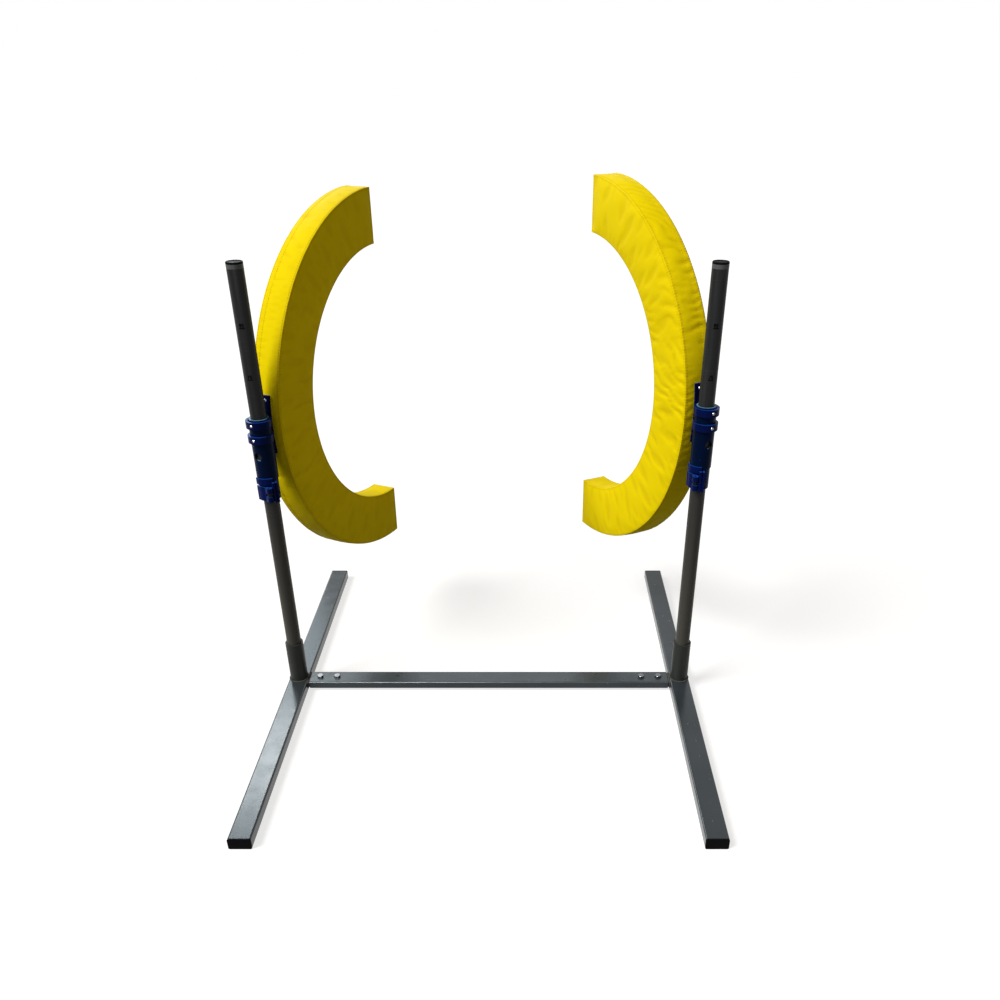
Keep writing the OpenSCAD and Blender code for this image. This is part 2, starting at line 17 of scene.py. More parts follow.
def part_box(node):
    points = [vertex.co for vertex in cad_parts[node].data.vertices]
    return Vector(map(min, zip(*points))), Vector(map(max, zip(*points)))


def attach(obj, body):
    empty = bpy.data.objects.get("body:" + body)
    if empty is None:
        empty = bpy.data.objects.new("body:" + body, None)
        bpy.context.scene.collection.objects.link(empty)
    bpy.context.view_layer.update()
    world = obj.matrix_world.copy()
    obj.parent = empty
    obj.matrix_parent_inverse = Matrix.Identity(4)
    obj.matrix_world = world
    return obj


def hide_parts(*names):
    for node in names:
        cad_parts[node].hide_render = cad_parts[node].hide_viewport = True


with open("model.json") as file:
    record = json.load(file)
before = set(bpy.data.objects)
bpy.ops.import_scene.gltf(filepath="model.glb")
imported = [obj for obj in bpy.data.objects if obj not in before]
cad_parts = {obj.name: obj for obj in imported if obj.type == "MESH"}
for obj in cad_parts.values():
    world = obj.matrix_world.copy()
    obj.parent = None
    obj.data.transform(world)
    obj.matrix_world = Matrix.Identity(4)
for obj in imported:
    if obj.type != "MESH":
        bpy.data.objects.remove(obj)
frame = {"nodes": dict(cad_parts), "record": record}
scene = bpy.context.scene
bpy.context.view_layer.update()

# %% [markdown]
# ## Camera
# The photograph was taken from standing height, a little to the right of the middle, looking down.
# The place, tilt and focal length were found by matching tube ends and corners of the CAD model with
# the picture. The small shift is there because the picture was cropped off centre.

# %% Camera
def add(name, data):
    """A new object in the scene."""
    made = bpy.data.objects.new(name, data)
    scene.collection.objects.link(made)
    return made


look_down = 29.91
lens = bpy.data.cameras.new("camera")
lens.sensor_width, lens.lens = 36, 32.14
lens.shift_x, lens.shift_y = -0.0298, 0.0795
camera = add("camera", lens)
camera.location = (0.0966, -1.7225, 1.2824)
camera.rotation_euler = (math.radians(90 - look_down), 0, 0)
scene.camera = camera
scene.view_settings.view_transform = "Standard"
print("camera", [round(v, 3) for v in camera.location])

# %% [markdown]
# ## Nodes in few words
# Every finish below is a small node tree. One helper adds a node, sets its values, links its inputs and
# gives back its output, so that a finish reads from top to bottom like a recipe.

# %% Node helpers
def fill(tree, node, values):
    """Set a node's inputs; a value that is a socket gets linked."""
    for name, value in values.items():
        if isinstance(value, bpy.types.NodeSocket):
            tree.links.new(value, node.inputs[name])
        else:
            node.inputs[name].default_value = value


def put(tree, kind, values=None, out=0, **settings):
    """Add a node with its settings and inputs, and give back one of its outputs, if it has any."""
    node = tree.nodes.new(kind)
    for name, value in settings.items():
        setattr(node, name, value)
    fill(tree, node, values or {})
    return node.outputs[out] if node.outputs else None


def reckon(tree, operation, *values):
    """The result of a maths node."""
    return put(tree, "ShaderNodeMath", dict(enumerate(values)), operation=operation)


print("node helpers:", [helper.__name__ for helper in (fill, put, reckon)])

# %% [markdown]
# ## Floor and surroundings
# The photograph is cut out on white. A white floor would throw a lot of light up under the pads, which
# the picture doesn't show. So the floor looks white to the camera and in reflections, and keeps the
# shadows, while it is a plain grey for the light that bounces. The surroundings work the same way.

# %% Floor
def fresh_tree(owner):
    """The emptied node tree of a material or world."""
    owner.use_nodes = True
    owner.node_tree.nodes.clear()
    return owner.node_tree


def show(tree, output, for_light, for_camera):
    """One shader for light that bounces, another for the camera and what shiny or clear pieces show."""
    ray = put(tree, "ShaderNodeLightPath").node.outputs
    shiny = reckon(tree, "MAXIMUM", ray["Is Camera Ray"], ray["Is Glossy Ray"])
    seen = reckon(tree, "MAXIMUM", shiny, ray["Is Transmission Ray"])
    mix = put(tree, "ShaderNodeMixShader", {0: seen, 1: for_light, 2: for_camera})
    put(tree, output, {"Surface": mix})


def mesh_of(name, points, faces=(), edges=(), material=None):
    mesh = bpy.data.meshes.new(name)
    mesh.from_pydata(points, edges, faces)
    if material:
        mesh.materials.append(material)
    return mesh


white = (1, 1, 1, 1)
floor_paint = bpy.data.materials.new("studio_floor")
tree = fresh_tree(floor_paint)
glow = put(tree, "ShaderNodeEmission", {"Color": white, "Strength": 0.72})
shade = put(tree, "ShaderNodeBsdfDiffuse", {"Color": (0.38, 0.38, 0.38, 1)})
pale = put(tree, "ShaderNodeAddShader", {0: glow, 1: shade})
grey = put(tree, "ShaderNodeBsdfDiffuse", {"Color": (0.14, 0.14, 0.135, 1)})
show(tree, "ShaderNodeOutputMaterial", grey, pale)

reach = 40
corners = [(-reach, -reach, 0), (reach, -reach, 0), (reach, reach, 0), (-reach, reach, 0)]
floor = add("floor", mesh_of("floor", corners, [(0, 1, 2, 3)], material=floor_paint))
print("floor", 2 * reach, "m wide")

# %% Surroundings
scene.world = bpy.data.worlds.new("studio")
tree = fresh_tree(scene.world)
soft_fill = put(tree, "ShaderNodeBackground", {"Color": (1.0, 0.91, 0.80, 1), "Strength": 0.21})
backdrop = put(tree, "ShaderNodeBackground", {"Color": white, "Strength": 1.0})
show(tree, "ShaderNodeOutputWorld", soft_fill, backdrop)
print("surroundings:", scene.world.name)

# %% [markdown]
# ## Light
# The sun comes from the upper left, in front: it lights the left pad's rim and the right pad's face.
# The glossy paint of the left foot mirrors a pale sky with one bright patch, and the crossbar a band of
# sky with a line of light along its front edge. Soft panels that only glossy surfaces see stand for them.

# %% Lights
def light(name, kind, place, target, energy, colour):
    """A lamp at a place, aimed at a target."""
    data = bpy.data.lights.new(name, kind)
    data.energy, data.color = energy, colour
    lamp = add(name, data)
    lamp.location = place
    lamp.rotation_euler = (Vector(target) - lamp.location).to_track_quat("-Z", "Y").to_euler()
    return lamp


def mirrored(name, place, target, width, height, energy, colour):
    """A soft panel that shows in glossy surfaces only."""
    panel = light(name, "AREA", place, target, energy, colour)
    panel.data.shape = "RECTANGLE"
    panel.data.size, panel.data.size_y = width, height
    panel.visible_diffuse = False
    return panel


post_x, foot_top = 0.45, 0.025
sun = light("key_sun", "SUN", (-2.06, -1.08, 2.475), (0, 0, 0), 3.43, (1.0, 0.99, 0.95))
sun.data.angle = math.radians(26)
foot_middle = (-post_x, -0.2, foot_top)
bar_middle, bar_left = (0, 0, foot_top), (-0.28, 0, foot_top)
panels = [
    mirrored("sky_in_left_foot", (-1.45, 2.2, 2.0), foot_middle, 1.0, 2.6, 30, (0.80, 0.93, 1.0)),
    mirrored("patch_in_left_foot", (-1.40, 2.2, 2.22), foot_middle, 0.7, 0.50, 12, (1.0, 1.0, 0.98)),
    mirrored("strip_in_crossbar", (-0.1, 2.2, 1.64), bar_middle, 1.7, 0.5, 6.2, (0.88, 0.96, 1.0)),
    mirrored("line_on_crossbar", (-0.62, -1.5, 2.0), bar_left, 0.6, 1.0, 150, (1.0, 1.0, 1.0)),
]
print("lights", [lamp.name for lamp in (sun, *panels)])

# %% [markdown]
# ## What all finishes share
# A finish is a Principled shader fed by a few patterns. All patterns read Object coordinates, which are
# metres here, so that a scale of 900 means grains about a millimetre wide. A small class keeps the tree
# and its coordinates together, gives the usual nodes short names, and files the finish by its name.

# %% Finish recipes
finishes = {}


class Finish:
    def __init__(self, name, roughness, specular, metallic=0.0):
        finishes[name] = bpy.data.materials.new(name)
        finishes[name].use_nodes = True
        self.tree = finishes[name].node_tree
        self.place = self.put("ShaderNodeTexCoord", out="Object")
        self.bumps = {}
        self.wear({"Roughness": roughness, "Specular IOR Level": specular, "Metallic": metallic})

    def put(self, kind, values=None, **settings):
        return put(self.tree, kind, values, **settings)

    def wear(self, values):
        """Set or link inputs of the shader."""
        fill(self.tree, self.tree.nodes["Principled BSDF"], values)

    def parts(self, vector):
        return self.put("ShaderNodeSeparateXYZ", {0: vector}).node.outputs

    def noise(self, scale, detail=3.0, stretch=None):
        place = self.place
        if stretch:
            place = self.put("ShaderNodeMapping", {"Vector": place, "Scale": stretch})
        return self.put("ShaderNodeTexNoise", {"Vector": place, "Scale": scale, "Detail": detail})

    def ramp(self, factor, start, first, end, second):
        """A colour that goes from the first to the second as the factor goes from start to end."""
        ramp = self.put("ShaderNodeValToRGB", {0: factor})
        for point, where, colour in zip(ramp.node.color_ramp.elements, (start, end), (first, second)):
            point.position, point.color = where, (*colour, 1)
        return ramp

    def spread(self, factor, low, high, start=0.3, end=0.7):
        return self.put("ShaderNodeMapRange", {"Value": factor, "From Min": start, "From Max": end,
                                               "To Min": low, "To Max": high})

    def blend(self, factor, under, colour):
        return self.put("ShaderNodeMix", {0: factor, 6: under, 7: (*colour, 1)}, out=2, data_type="RGBA")

    def relief(self, height, distance, strength=1.0):
        """A bump on top of the bumps so far."""
        bump = self.put("ShaderNodeBump", {"Height": height, "Distance": distance, "Strength": strength,
                                           **self.bumps})
        self.bumps = {"Normal": bump}
        self.wear(self.bumps)


print("recipes:", [name for name in vars(Finish) if not name.startswith("_")])

# %% [markdown]
# ## Paint
# The feet and the crossbar have a smooth grey paint that mirrors what stands over it, so its gloss
# matters more than its colour; the crossbar's is a little duller. The posts are darker and duller still,
# with painted light from the floor that makes them lighter towards the ground, rub marks where the
# clamps slide, and bare metal under their caps.

# %% Painted steel
def paint_frame(name, smoothest, dullest):
    """Grey gloss paint, its roughness clouded between two values and raised by scuffs."""
    paint = Finish(name, smoothest, 0.36)
    base = paint.ramp(paint.noise(7), 0.35, (0.023, 0.029, 0.034), 0.65, (0.032, 0.039, 0.045))
    scuff = paint.spread(paint.noise(120, 6, (1, 0.35, 1)), 0, 0.5, 0.66, 0.74)
    cloudy = paint.spread(paint.noise(30), smoothest, dullest)
    paint.wear({"Specular Tint": (0.86, 0.95, 1.0, 1),
                "Base Color": paint.blend(scuff, base, (0.13, 0.135, 0.14)),
                "Roughness": reckon(paint.tree, "MULTIPLY_ADD", scuff, 0.3, cloudy)})
    paint.relief(paint.noise(700, 2), 0.00004)


def paint_posts(name, ground):
    """Dark paint that turns to another colour near the ground, as painted light from the floor."""
    bare_from, bare_to = 0.9575, 0.9585
    paint = Finish(name, 0.42, 0.10)
    drawn = paint.noise(90, 4, (1, 1, 0.06))
    base = paint.ramp(drawn, 0.3, (0.012, 0.013, 0.014), 0.7, (0.025, 0.026, 0.027))
    height = paint.parts(paint.place)[2]
    # Painted light: low down the paint turns to the ground colour, standing for light from the floor.
    lit_from_ground = paint.blend(paint.spread(height, 1, 0, 0.15, 0.62), base, ground)
    rubbed = paint.spread(paint.noise(26, 5, (0.25, 0.25, 14)), 0, 0.3, 0.6, 0.75)
    worn = paint.blend(rubbed, lit_from_ground, (0.07, 0.07, 0.066))
    bare = paint.spread(height, 0, 1, bare_from, bare_to)
    paint.wear({"Base Color": paint.blend(bare, worn, (0.10, 0.105, 0.11)),
                "Roughness": paint.spread(drawn, 0.34, 0.48)})
    paint.relief(paint.noise(500, 3), 0.00006)


paint_frame("frame_paint", 0.14, 0.22)
paint_frame("crossbar_paint", 0.27, 0.35)
paint_posts("post_paint", (0.062, 0.060, 0.052))
paint_posts("socket_paint", (0.030, 0.033, 0.032))
print("paints:", list(finishes))

# %% [markdown]
# ## Moulded plastic
# The sleeves are nearly navy, the bracket's bands and the clamps a stronger blue, and the end caps
# black. Moulded plastic has a faint grain, a soft gloss and fine scratches, which here come from
# stretched noise. Edges and ledges that look up get a painted sheen: a paler blue that stands for the
# bright sky they mirror.

# %% Plastics
blue_tint = (0.45, 0.65, 1.0, 1)


def mould(name, dark, light, sky_sheen_colour, roughness=0.32, gloss=0.05, grain=900, tint=blue_tint,
          pale_radius=1.0):
    """Plastic with a painted sheen of sky where it looks up, within a radius of its post's axis."""
    pale_edge = 0.0006
    plastic = Finish(name, roughness, gloss)
    base = plastic.ramp(plastic.noise(18), 0.3, dark, 0.7, light)
    scratch = plastic.spread(plastic.noise(300, 4, (1, 1, 0.08)), 0, 0.2, 0.64, 0.74)
    scratched = plastic.blend(scratch, base, [min(1, 2.5 * c + 0.004) for c in light])
    # Painted sheen: faces that look up turn paler, a painted reflection of the bright sky.
    facing = plastic.put("ShaderNodeNewGeometry", out="Normal")
    upward = plastic.spread(plastic.parts(facing)[2], 0, 1, 0.45, 0.95)
    x, y, _ = plastic.parts(plastic.place)
    side = reckon(plastic.tree, "SUBTRACT", reckon(plastic.tree, "ABSOLUTE", x), post_x)
    offset = plastic.put("ShaderNodeCombineXYZ", {0: side, 1: y})
    radius = plastic.put("ShaderNodeVectorMath", {0: offset}, out="Value", operation="LENGTH")
    near = plastic.spread(radius, 1, 0, pale_radius, pale_radius + pale_edge)
    painted_sky_sheen = reckon(plastic.tree, "MULTIPLY", upward, near)
    plastic.wear({"Specular Tint": tint, "Base Color": plastic.blend(painted_sky_sheen, scratched, sky_sheen_colour),
                  "Roughness": plastic.spread(plastic.noise(60), roughness - 0.06, roughness + 0.08)})
    plastic.relief(plastic.noise(grain, 2), 0.00005)


mould("blue_plastic", (0.0005, 0.004, 0.056), (0.001, 0.008, 0.095), (0.009, 0.055, 0.28))
mould("navy_plastic", (0.0005, 0.003, 0.046), (0.001, 0.006, 0.072), (0.005, 0.035, 0.22), roughness=0.34)
mould("black_plastic", (0.002, 0.002, 0.003), (0.004, 0.004, 0.005), (0.006, 0.006, 0.007), roughness=0.5,
      gloss=0.02, grain=1400, tint=white)
mould("sleeve_plastic", (0.000, 0.003, 0.019), (0.0005, 0.006, 0.036), (0.11, 0.24, 0.37), gloss=0.04,
      pale_radius=0.0195)
print("plastics:", [name for name in finishes if "plastic" in name])

# %% [markdown]
# ## Zinc, and what lies inside
# Zinc-plated screws are bright with a cloudy sheen, and the crossbar's bolts have gone dull. In the
# clamps no bright metal shows, so their bolt, nut and pin have the black kind of zinc plating. Foam,
# board and magnets are hidden in the pads, but a model that is cut open or shown without its cover
# still needs them to look right.

# %% Zinc and inner pieces
def plate(name, dark, light, cloud_size, smoothest, dullest):
    """Cloudy metal plating."""
    metal = Finish(name, 0.3, 0.5, 1.0)
    cloud = metal.noise(*cloud_size)
    metal.wear({"Base Color": metal.ramp(cloud, 0.3, dark, 0.7, light),
                "Roughness": metal.spread(cloud, smoothest, dullest)})
    return metal


def plate_zinc(name, dark, light):
    zinc = plate(name, (dark, dark, 1.03 * dark), (light, light, 1.04 * light), (160, 4), 0.22, 0.42)
    zinc.relief(zinc.noise(1500, 2), 0.00003)


def cut_foam():
    foam = Finish("foam", 0.9, 0.1)
    cells = foam.put("ShaderNodeTexVoronoi", {"Vector": foam.place, "Scale": 700})
    foam.wear({"Base Color": foam.ramp(cells, 0.1, (0.22, 0.22, 0.21), 0.6, (0.42, 0.42, 0.40))})
    foam.relief(cells, 0.0005)


def saw_plywood():
    wood = Finish("plywood", 0.7, 0.2)
    grain = wood.noise(60, 5, (1, 1, 0.08))
    wood.wear({"Base Color": wood.ramp(grain, 0.35, (0.36, 0.22, 0.10), 0.65, (0.58, 0.40, 0.22))})
    wood.relief(grain, 0.0002)


plate_zinc("zinc", 0.24, 0.44)
plate_zinc("dull_zinc", 0.07, 0.20)
plate_zinc("black_zinc", 0.006, 0.014)
plate("magnet", (0.55, 0.55, 0.57), (0.72, 0.72, 0.74), (90,), 0.15, 0.3)
cut_foam()
saw_plywood()
print(len(finishes), "finishes so far")

# %% [markdown]
# ## Yellow cover cloth
# The covers are sewn from a coated cloth: strong yellow, a soft gloss, a fine weave that shows through
# the coating. The weave needs to follow the pad, so it reads the pad's own UV map, which is measured in
# metres along and round the pad. Two values are stored on the mesh: one says where cloth lies in the
# hollow of a fold, where painted shade makes the colour deeper, and draws a thin dark line along each
# seam; the other says where cloth lies beside a seam, gathered between the stitches, with painted shade
# in the gathers.

# %% Cover cloth
stitch_pitch = 0.0058
# A wave texture of scale 1 has 20 radians to the unit
stitch_waves, weave_waves = 2 * math.pi / 20 / stitch_pitch, 380.0


def weave_cover():
    cover = Finish("yellow_cover", 0.6, 0.035)
    cloth = cover.put("ShaderNodeUVMap", uv_map="cloth")

    def bands(scale, distortion, direction):
        return cover.put("ShaderNodeTexWave", {"Vector": cloth, "Scale": scale, "Distortion": distortion,
                                               "Detail": 1.0}, out=1, bands_direction=direction)

    def stored(name):
        return cover.put("ShaderNodeAttribute", out="Fac", attribute_name=name)

    def tint(factor, most, under, colour):
        return cover.blend(cover.spread(factor, 0, most, 0, 1), under, colour)

    threads = reckon(cover.tree, "MULTIPLY", bands(weave_waves, 0.6, "X"), bands(weave_waves, 0.6, "Y"))
    gather = reckon(cover.tree, "MULTIPLY", bands(stitch_waves, 1.5, "X"), stored("seam"))
    base = cover.ramp(cover.noise(9, 4), 0.3, (0.85, 0.655, 0.0010), 0.7, (0.90, 0.705, 0.0018))
    # Painted shade: deeper orange in the hollows of folds, and a thin dark line along each seam.
    creased = tint(stored("crease"), 0.6, base, (0.45, 0.26, 0.001))
    # Painted shade in the small gathers between the stitches beside each seam.
    gather_shaded = tint(gather, 0.22, creased, (0.42, 0.26, 0.001))
    cover.wear({"Specular Tint": (1.0, 0.80, 0.10, 1),
                "Base Color": tint(threads, 0.10, gather_shaded, (0.95, 0.80, 0.02)),
                "Roughness": cover.spread(cover.noise(40, 4), 0.55, 0.70)})
    cover.relief(threads, 0.00008, 0.5)
    cover.relief(cover.noise(110, 4), 0.0005, 0.5)
    cover.relief(gather, 0.0004, 0.6)


def twist_thread():
    thread = Finish("sewing_thread", 0.6, 0.1)
    colour = thread.ramp(thread.noise(900, 2), 0.3, (0.62, 0.43, 0.003), 0.7, (0.80, 0.59, 0.008))
    thread.wear({"Base Color": colour})


weave_cover()
twist_thread()
print(len(finishes), "finishes, and", round(1000 * stitch_pitch, 1), "mm from stitch to stitch")

# %% [markdown]
# ## Dressing the CAD pieces
# Each CAD piece names its finish in the record, so one short loop dresses all of them. Sleeves, sockets,
# the crossbar with its bolts and the metal in the clamps get their own shade of it.

# %% Finishes on the CAD pieces
own_shade = {"sleeve": "sleeve_plastic", "socket": "socket_paint", "crossbar": "crossbar_paint",
             "crossbar_bolts": "dull_zinc", "draw_bolt": "black_zinc", "draw_nut": "black_zinc",
             "lever_pin": "black_zinc"}
for row in frame["record"]["subparts"]:
    piece = frame["nodes"][row["node"]]
    plain_name = row["node"].removeprefix("left_").removeprefix("right_")
    material = finishes[own_shade.get(plain_name, row["material_slot"])]
    if not piece.material_slots:
        piece.data.materials.append(material)
    for material_slot in piece.material_slots:
        material_slot.material = material

# %% [markdown]
# ## Where the halves hang
# Each half turns round its post. In a half's own frame, X points from the post to the ring's centre,
# Y goes through the pad's thickness, and Z is up. The passage side is the face that looks at the dog.

# %% Frames of the halves
ring_offset = 0.447
inner_seam, outer_seam = 0.300, 0.418
half_thickness = 0.030
halves = {
    "left": {"post": -post_x, "height": 0.635, "turn": 68, "passage": -1, "slack": 0.7},
    "right": {"post": post_x, "height": 0.661, "turn": 115, "passage": 1, "slack": 1.0},
}
for half in halves.values():
    half["frame"] = np.array(Matrix.Translation((half["post"], 0, half["height"]))
                             @ Matrix.Rotation(math.radians(half["turn"]), 4, "Z"))


def to_world(half, points):
    return points @ half["frame"][:3, :3].T + half["frame"][:3, 3]


def to_half(half, points):
    return (points - half["frame"][:3, 3]) @ half["frame"][:3, :3]


print({name: half["turn"] for name, half in halves.items()})

# %% [markdown]
# ## The pad's section
# Cut through the pad and you see a rounded rectangle: two wide faces, an outer and an inner rim, and a
# seam at each corner. The foam pushes the cloth out between the seams, most of all just beside them,
# and the seam itself is a narrow bead that catches the light. The points lie close together at the
# seams, where the shape turns, and further apart in the middle.

# %% Section of the pad
def spaced(width, steps):
    """Distances from one seam to the other, close together at both."""
    near = [s / 1000 for s in steps]
    return np.array(near + [width - s for s in reversed(near)][1:])


face_width, rim_width = outer_seam - inner_seam, 2 * half_thickness
face_line = spaced(face_width, (0, 1.2, 2.6, 4.5, 7, 10, 14, 19, 25, 32, 40, 49, 59))
rim_line = spaced(rim_width, (0, 1.2, 2.6, 4.5, 7, 10, 14, 18.5, 24, 30))
on_rim = (rim_line, 0.0020, 2.0)
on_face = (face_line, 0.0034, 3.2)
seam_rise = 0.0005
# Corners and directions are pairs: radius in the ring, then place in the thickness
Side = namedtuple("Side", "corner direction out line swell power")
sides = [
    Side((outer_seam, -half_thickness), (0, 1), (1, 0), *on_rim),
    Side((outer_seam, half_thickness), (-1, 0), (0, 1), *on_face),
    Side((inner_seam, half_thickness), (0, -1), (-1, 0), *on_rim),
    Side((inner_seam, -half_thickness), (1, 0), (0, -1), *on_face),
]
side_of = np.repeat(range(4), [len(side.line) - 1 for side in sides])
along = np.concatenate([side.line[:-1] for side in sides])
widths = np.array([side.line[-1] for side in sides])
to_seam = np.minimum(along, widths[side_of] - along)
at_seam = along == 0


def on_side(side, places):
    """Section points at distances from the start of a side."""
    return np.array(side.corner) + np.outer(places, side.direction)


section = np.concatenate([on_side(side, side.line[:-1]) for side in sides])
rises = np.concatenate([side.swell * (1 - np.abs(2 * side.line[:-1] / side.line[-1] - 1) ** side.power)
                        for side in sides])
rises[at_seam] = seam_rise
outward = np.array([sides[number].out for number in side_of], float)
outward[at_seam] = (outward[at_seam] + np.roll(outward[at_seam], 1, axis=0)) / math.sqrt(2)
print(len(section), "points round the section")

# %% [markdown]
# ## Sweeping the section round the half ring
# The half ring is the section swept through half a turn. A grid of points is handy here: each row is
# one section, and each column runs along the pad, so that creases and seams can be written as functions
# of two lengths: how far along the pad, and how far from a seam. At both ends the seam of the end piece
# holds the cloth flat, so the swell fades out there.

# %% Sweep
rows = 270
turns = np.linspace(math.pi / 2, 3 * math.pi / 2, rows + 1)
length_along = (turns - turns[0])[:, None] * outer_seam
from_end = np.minimum(length_along, length_along[-1] - length_along)
end_fade, fold_fade = 0.05, 0.02


def swept(pairs, centre=0.0):
    """Pairs of radius and thickness, carried round the half ring."""
    cos, sin = np.cos(turns)[:, None], np.sin(turns)[:, None]
    return np.stack([centre + pairs[:, 0] * cos, pairs[:, 1] + 0 * cos, pairs[:, 0] * sin], -1)


def soft_step(value):
    value = np.clip(value, 0, 1)
    return value * value * (3 - 2 * value)


swell = np.where(at_seam, rises, rises * soft_step(from_end / end_fade))
skin_out = swept(outward)
skin = swept(section, ring_offset) + swell[..., None] * skin_out
print("pad grid", skin.shape[:2])

# %% [markdown]
# ## Creases in the cloth
# Cloth that is sewn round a bend is a little long on one side, so it puckers at the seams and lies in
# slanting folds across the face. The right cover is the slacker of the two. Each kind of fold is a row
# of narrow ridges or valleys: a sine wave, sharpened, bent by slow noise, and faded out where the real
# cloth is smooth. The noise is a sum of sines with a fixed seed, so it's the same in every run.

# %% Waves and noise
def slow_noise(first, second, wavelength, seed):
    """Smooth noise over two lengths in metres, from about -1 to 1."""
    waves, usual_height = 9, 3.2
    chance = np.random.default_rng(seed)
    total = 0
    for _ in range(waves):
        angle, stretch = chance.uniform(0, 2 * math.pi), chance.uniform(0.6, 1.7)
        wave = 2 * math.pi * stretch / wavelength
        total = total + np.sin(wave * (math.cos(angle) * first + math.sin(angle) * second)
                               + chance.uniform(0, 2 * math.pi))
    return total / usual_height


def ridges(phase, sharpness):
    """Narrow ridges, one for each whole step of the phase, around a mean of about nought."""
    wave = np.exp(sharpness * (np.sin(2 * math.pi * phase) - 1))
    return wave - wave.mean()


def window(value, start, end, soft):
    return soft_step(np.minimum((value - start) / soft, (end - value) / soft))


print("one fold from", np.round(ridges(np.linspace(0, 1, 9), 2.0), 2))

# %% [markdown]
# ## Folds on faces and rims
# On a face the folds are drawn up from the bracket and lean over towards the inner seam. On the outer
# rim they run in from the back seam, lie in gathers beside the bracket, and turn broad near the top end.
# Pitches and heights are in metres, and a share tells how far along the pad a place is, from 0 to 1.

# %% Folds on a face
def face_folds(slack, u, share, outer_side, inner_side, faces_passage, drift, patchy, short):
    """Slanting folds drawn up from the bracket, and a few broad ones over the whole face."""
    pitch, height = 0.047, 0.0060 if faces_passage else 0.0036
    broad_pitch, broad_height = 0.10, 0.0010
    lean = np.clip(1.25 - 2.4 * (share - 0.30), 0.35, 1.25)
    slant = (u - lean * inner_side) / pitch + 0.9 * drift + 0.22 * short
    reach_in = 0.6 + 0.4 * np.exp(-outer_side / 0.05)
    uneven = (0.2 + 0.8 * patchy) * np.clip(0.75 + 0.5 * short, 0, 1.2)
    middle = window(share, 0.22, 0.66, 0.12)
    drawn_up = -height * slack ** 2 * middle * reach_in * uneven * ridges(slant, 2.6)
    broad = (u - 0.8 * inner_side) / broad_pitch + 1.2 * drift
    most_of_it = 0.3 + 0.7 * window(share, 0.22, 0.74, 0.14)
    return drawn_up - broad_height * slack * most_of_it * ridges(broad, 1.6) * patchy


five_cm, still, face_share = np.linspace(0, 0.05, 9), np.zeros(9), 0.45
sample = face_folds(1.0, five_cm, face_share, 0.0, face_width, True, still, still + 1, still)
print("folds over 5 cm of a face, in mm:", np.round(1000 * sample, 1))

# %% Folds on the rims
def outer_rim_folds(slack, u, share, place, back_side, drift, patchy, short):
    """Puckers from the back seam, gathers beside the bracket, and broad folds near the top end."""
    pucker_pitch, pucker_height = 0.0185, 0.0060
    gather_pitch, gather_height, gather_reach = 0.0150, 0.0038, 0.020
    broad_pitch, broad_height = 0.034, 0.0042
    pucker = u / pucker_pitch + 0.9 * drift + 0.25 * short + 6 * back_side
    spell = window(share, 0.19, 0.42, 0.06) + 0.25 * window(share, 0.05, 0.9, 0.10)
    length = 0.020 + 0.024 * np.clip(0.5 + 0.6 * short, 0, 1)
    from_back = np.exp(-(back_side / length) ** 2) * (0.3 + 0.7 * patchy)
    puckers = pucker_height * spell * from_back * ridges(pucker, 1.9)
    from_front = np.exp(-((rim_width - back_side) / gather_reach) ** 2)
    beside = window(share, 0.42, 0.64, 0.05) * from_front * (0.5 + 0.5 * patchy)
    gathers = gather_height * beside * ridges(u / gather_pitch + 0.8 * drift + 0.2 * short, 1.6)
    slant = (u + 0.6 * place) / broad_pitch + 1.0 * drift + 0.2 * short
    broad = broad_height * window(share, 0.03, 0.26, 0.06) * patchy * ridges(slant, 1.3)
    return -slack ** 2 * (puckers + gathers + broad)


def inner_rim_folds(slack, u, drift, patchy):
    pitch, height = 0.021, 0.0004
    return height * slack * ridges(u / pitch + 0.5 * drift, 1.0) * patchy


rim_share = 0.30
sample = outer_rim_folds(1.0, five_cm, rim_share, 0.0, 0.0, still, still + 1, still)
print("folds over 5 cm of a rim, in mm:", np.round(1000 * sample, 1))

# %% All folds of a pad
cross_seam = 0.585
groove_depth, groove_width, groove_end = 0.0012, 0.006, 0.024
gentle_height, held_width = 0.0003, 0.007


def seam_gathers(slack, u, share, near, seed):
    """Small gathers where a seam holds the cloth, higher beside the bracket."""
    pitch, height, start, reach = 0.0125, 0.0008, 0.0025, 0.009
    stitched = u / pitch + 0.3 * slow_noise(u, 0 * near, 0.05, seed)
    gathered = height + height * window(share, 0.40, 0.75, 0.08)
    return np.minimum(1, near / start) * (gathered * slack * np.exp(-near / reach) * ridges(stitched, 1.0))


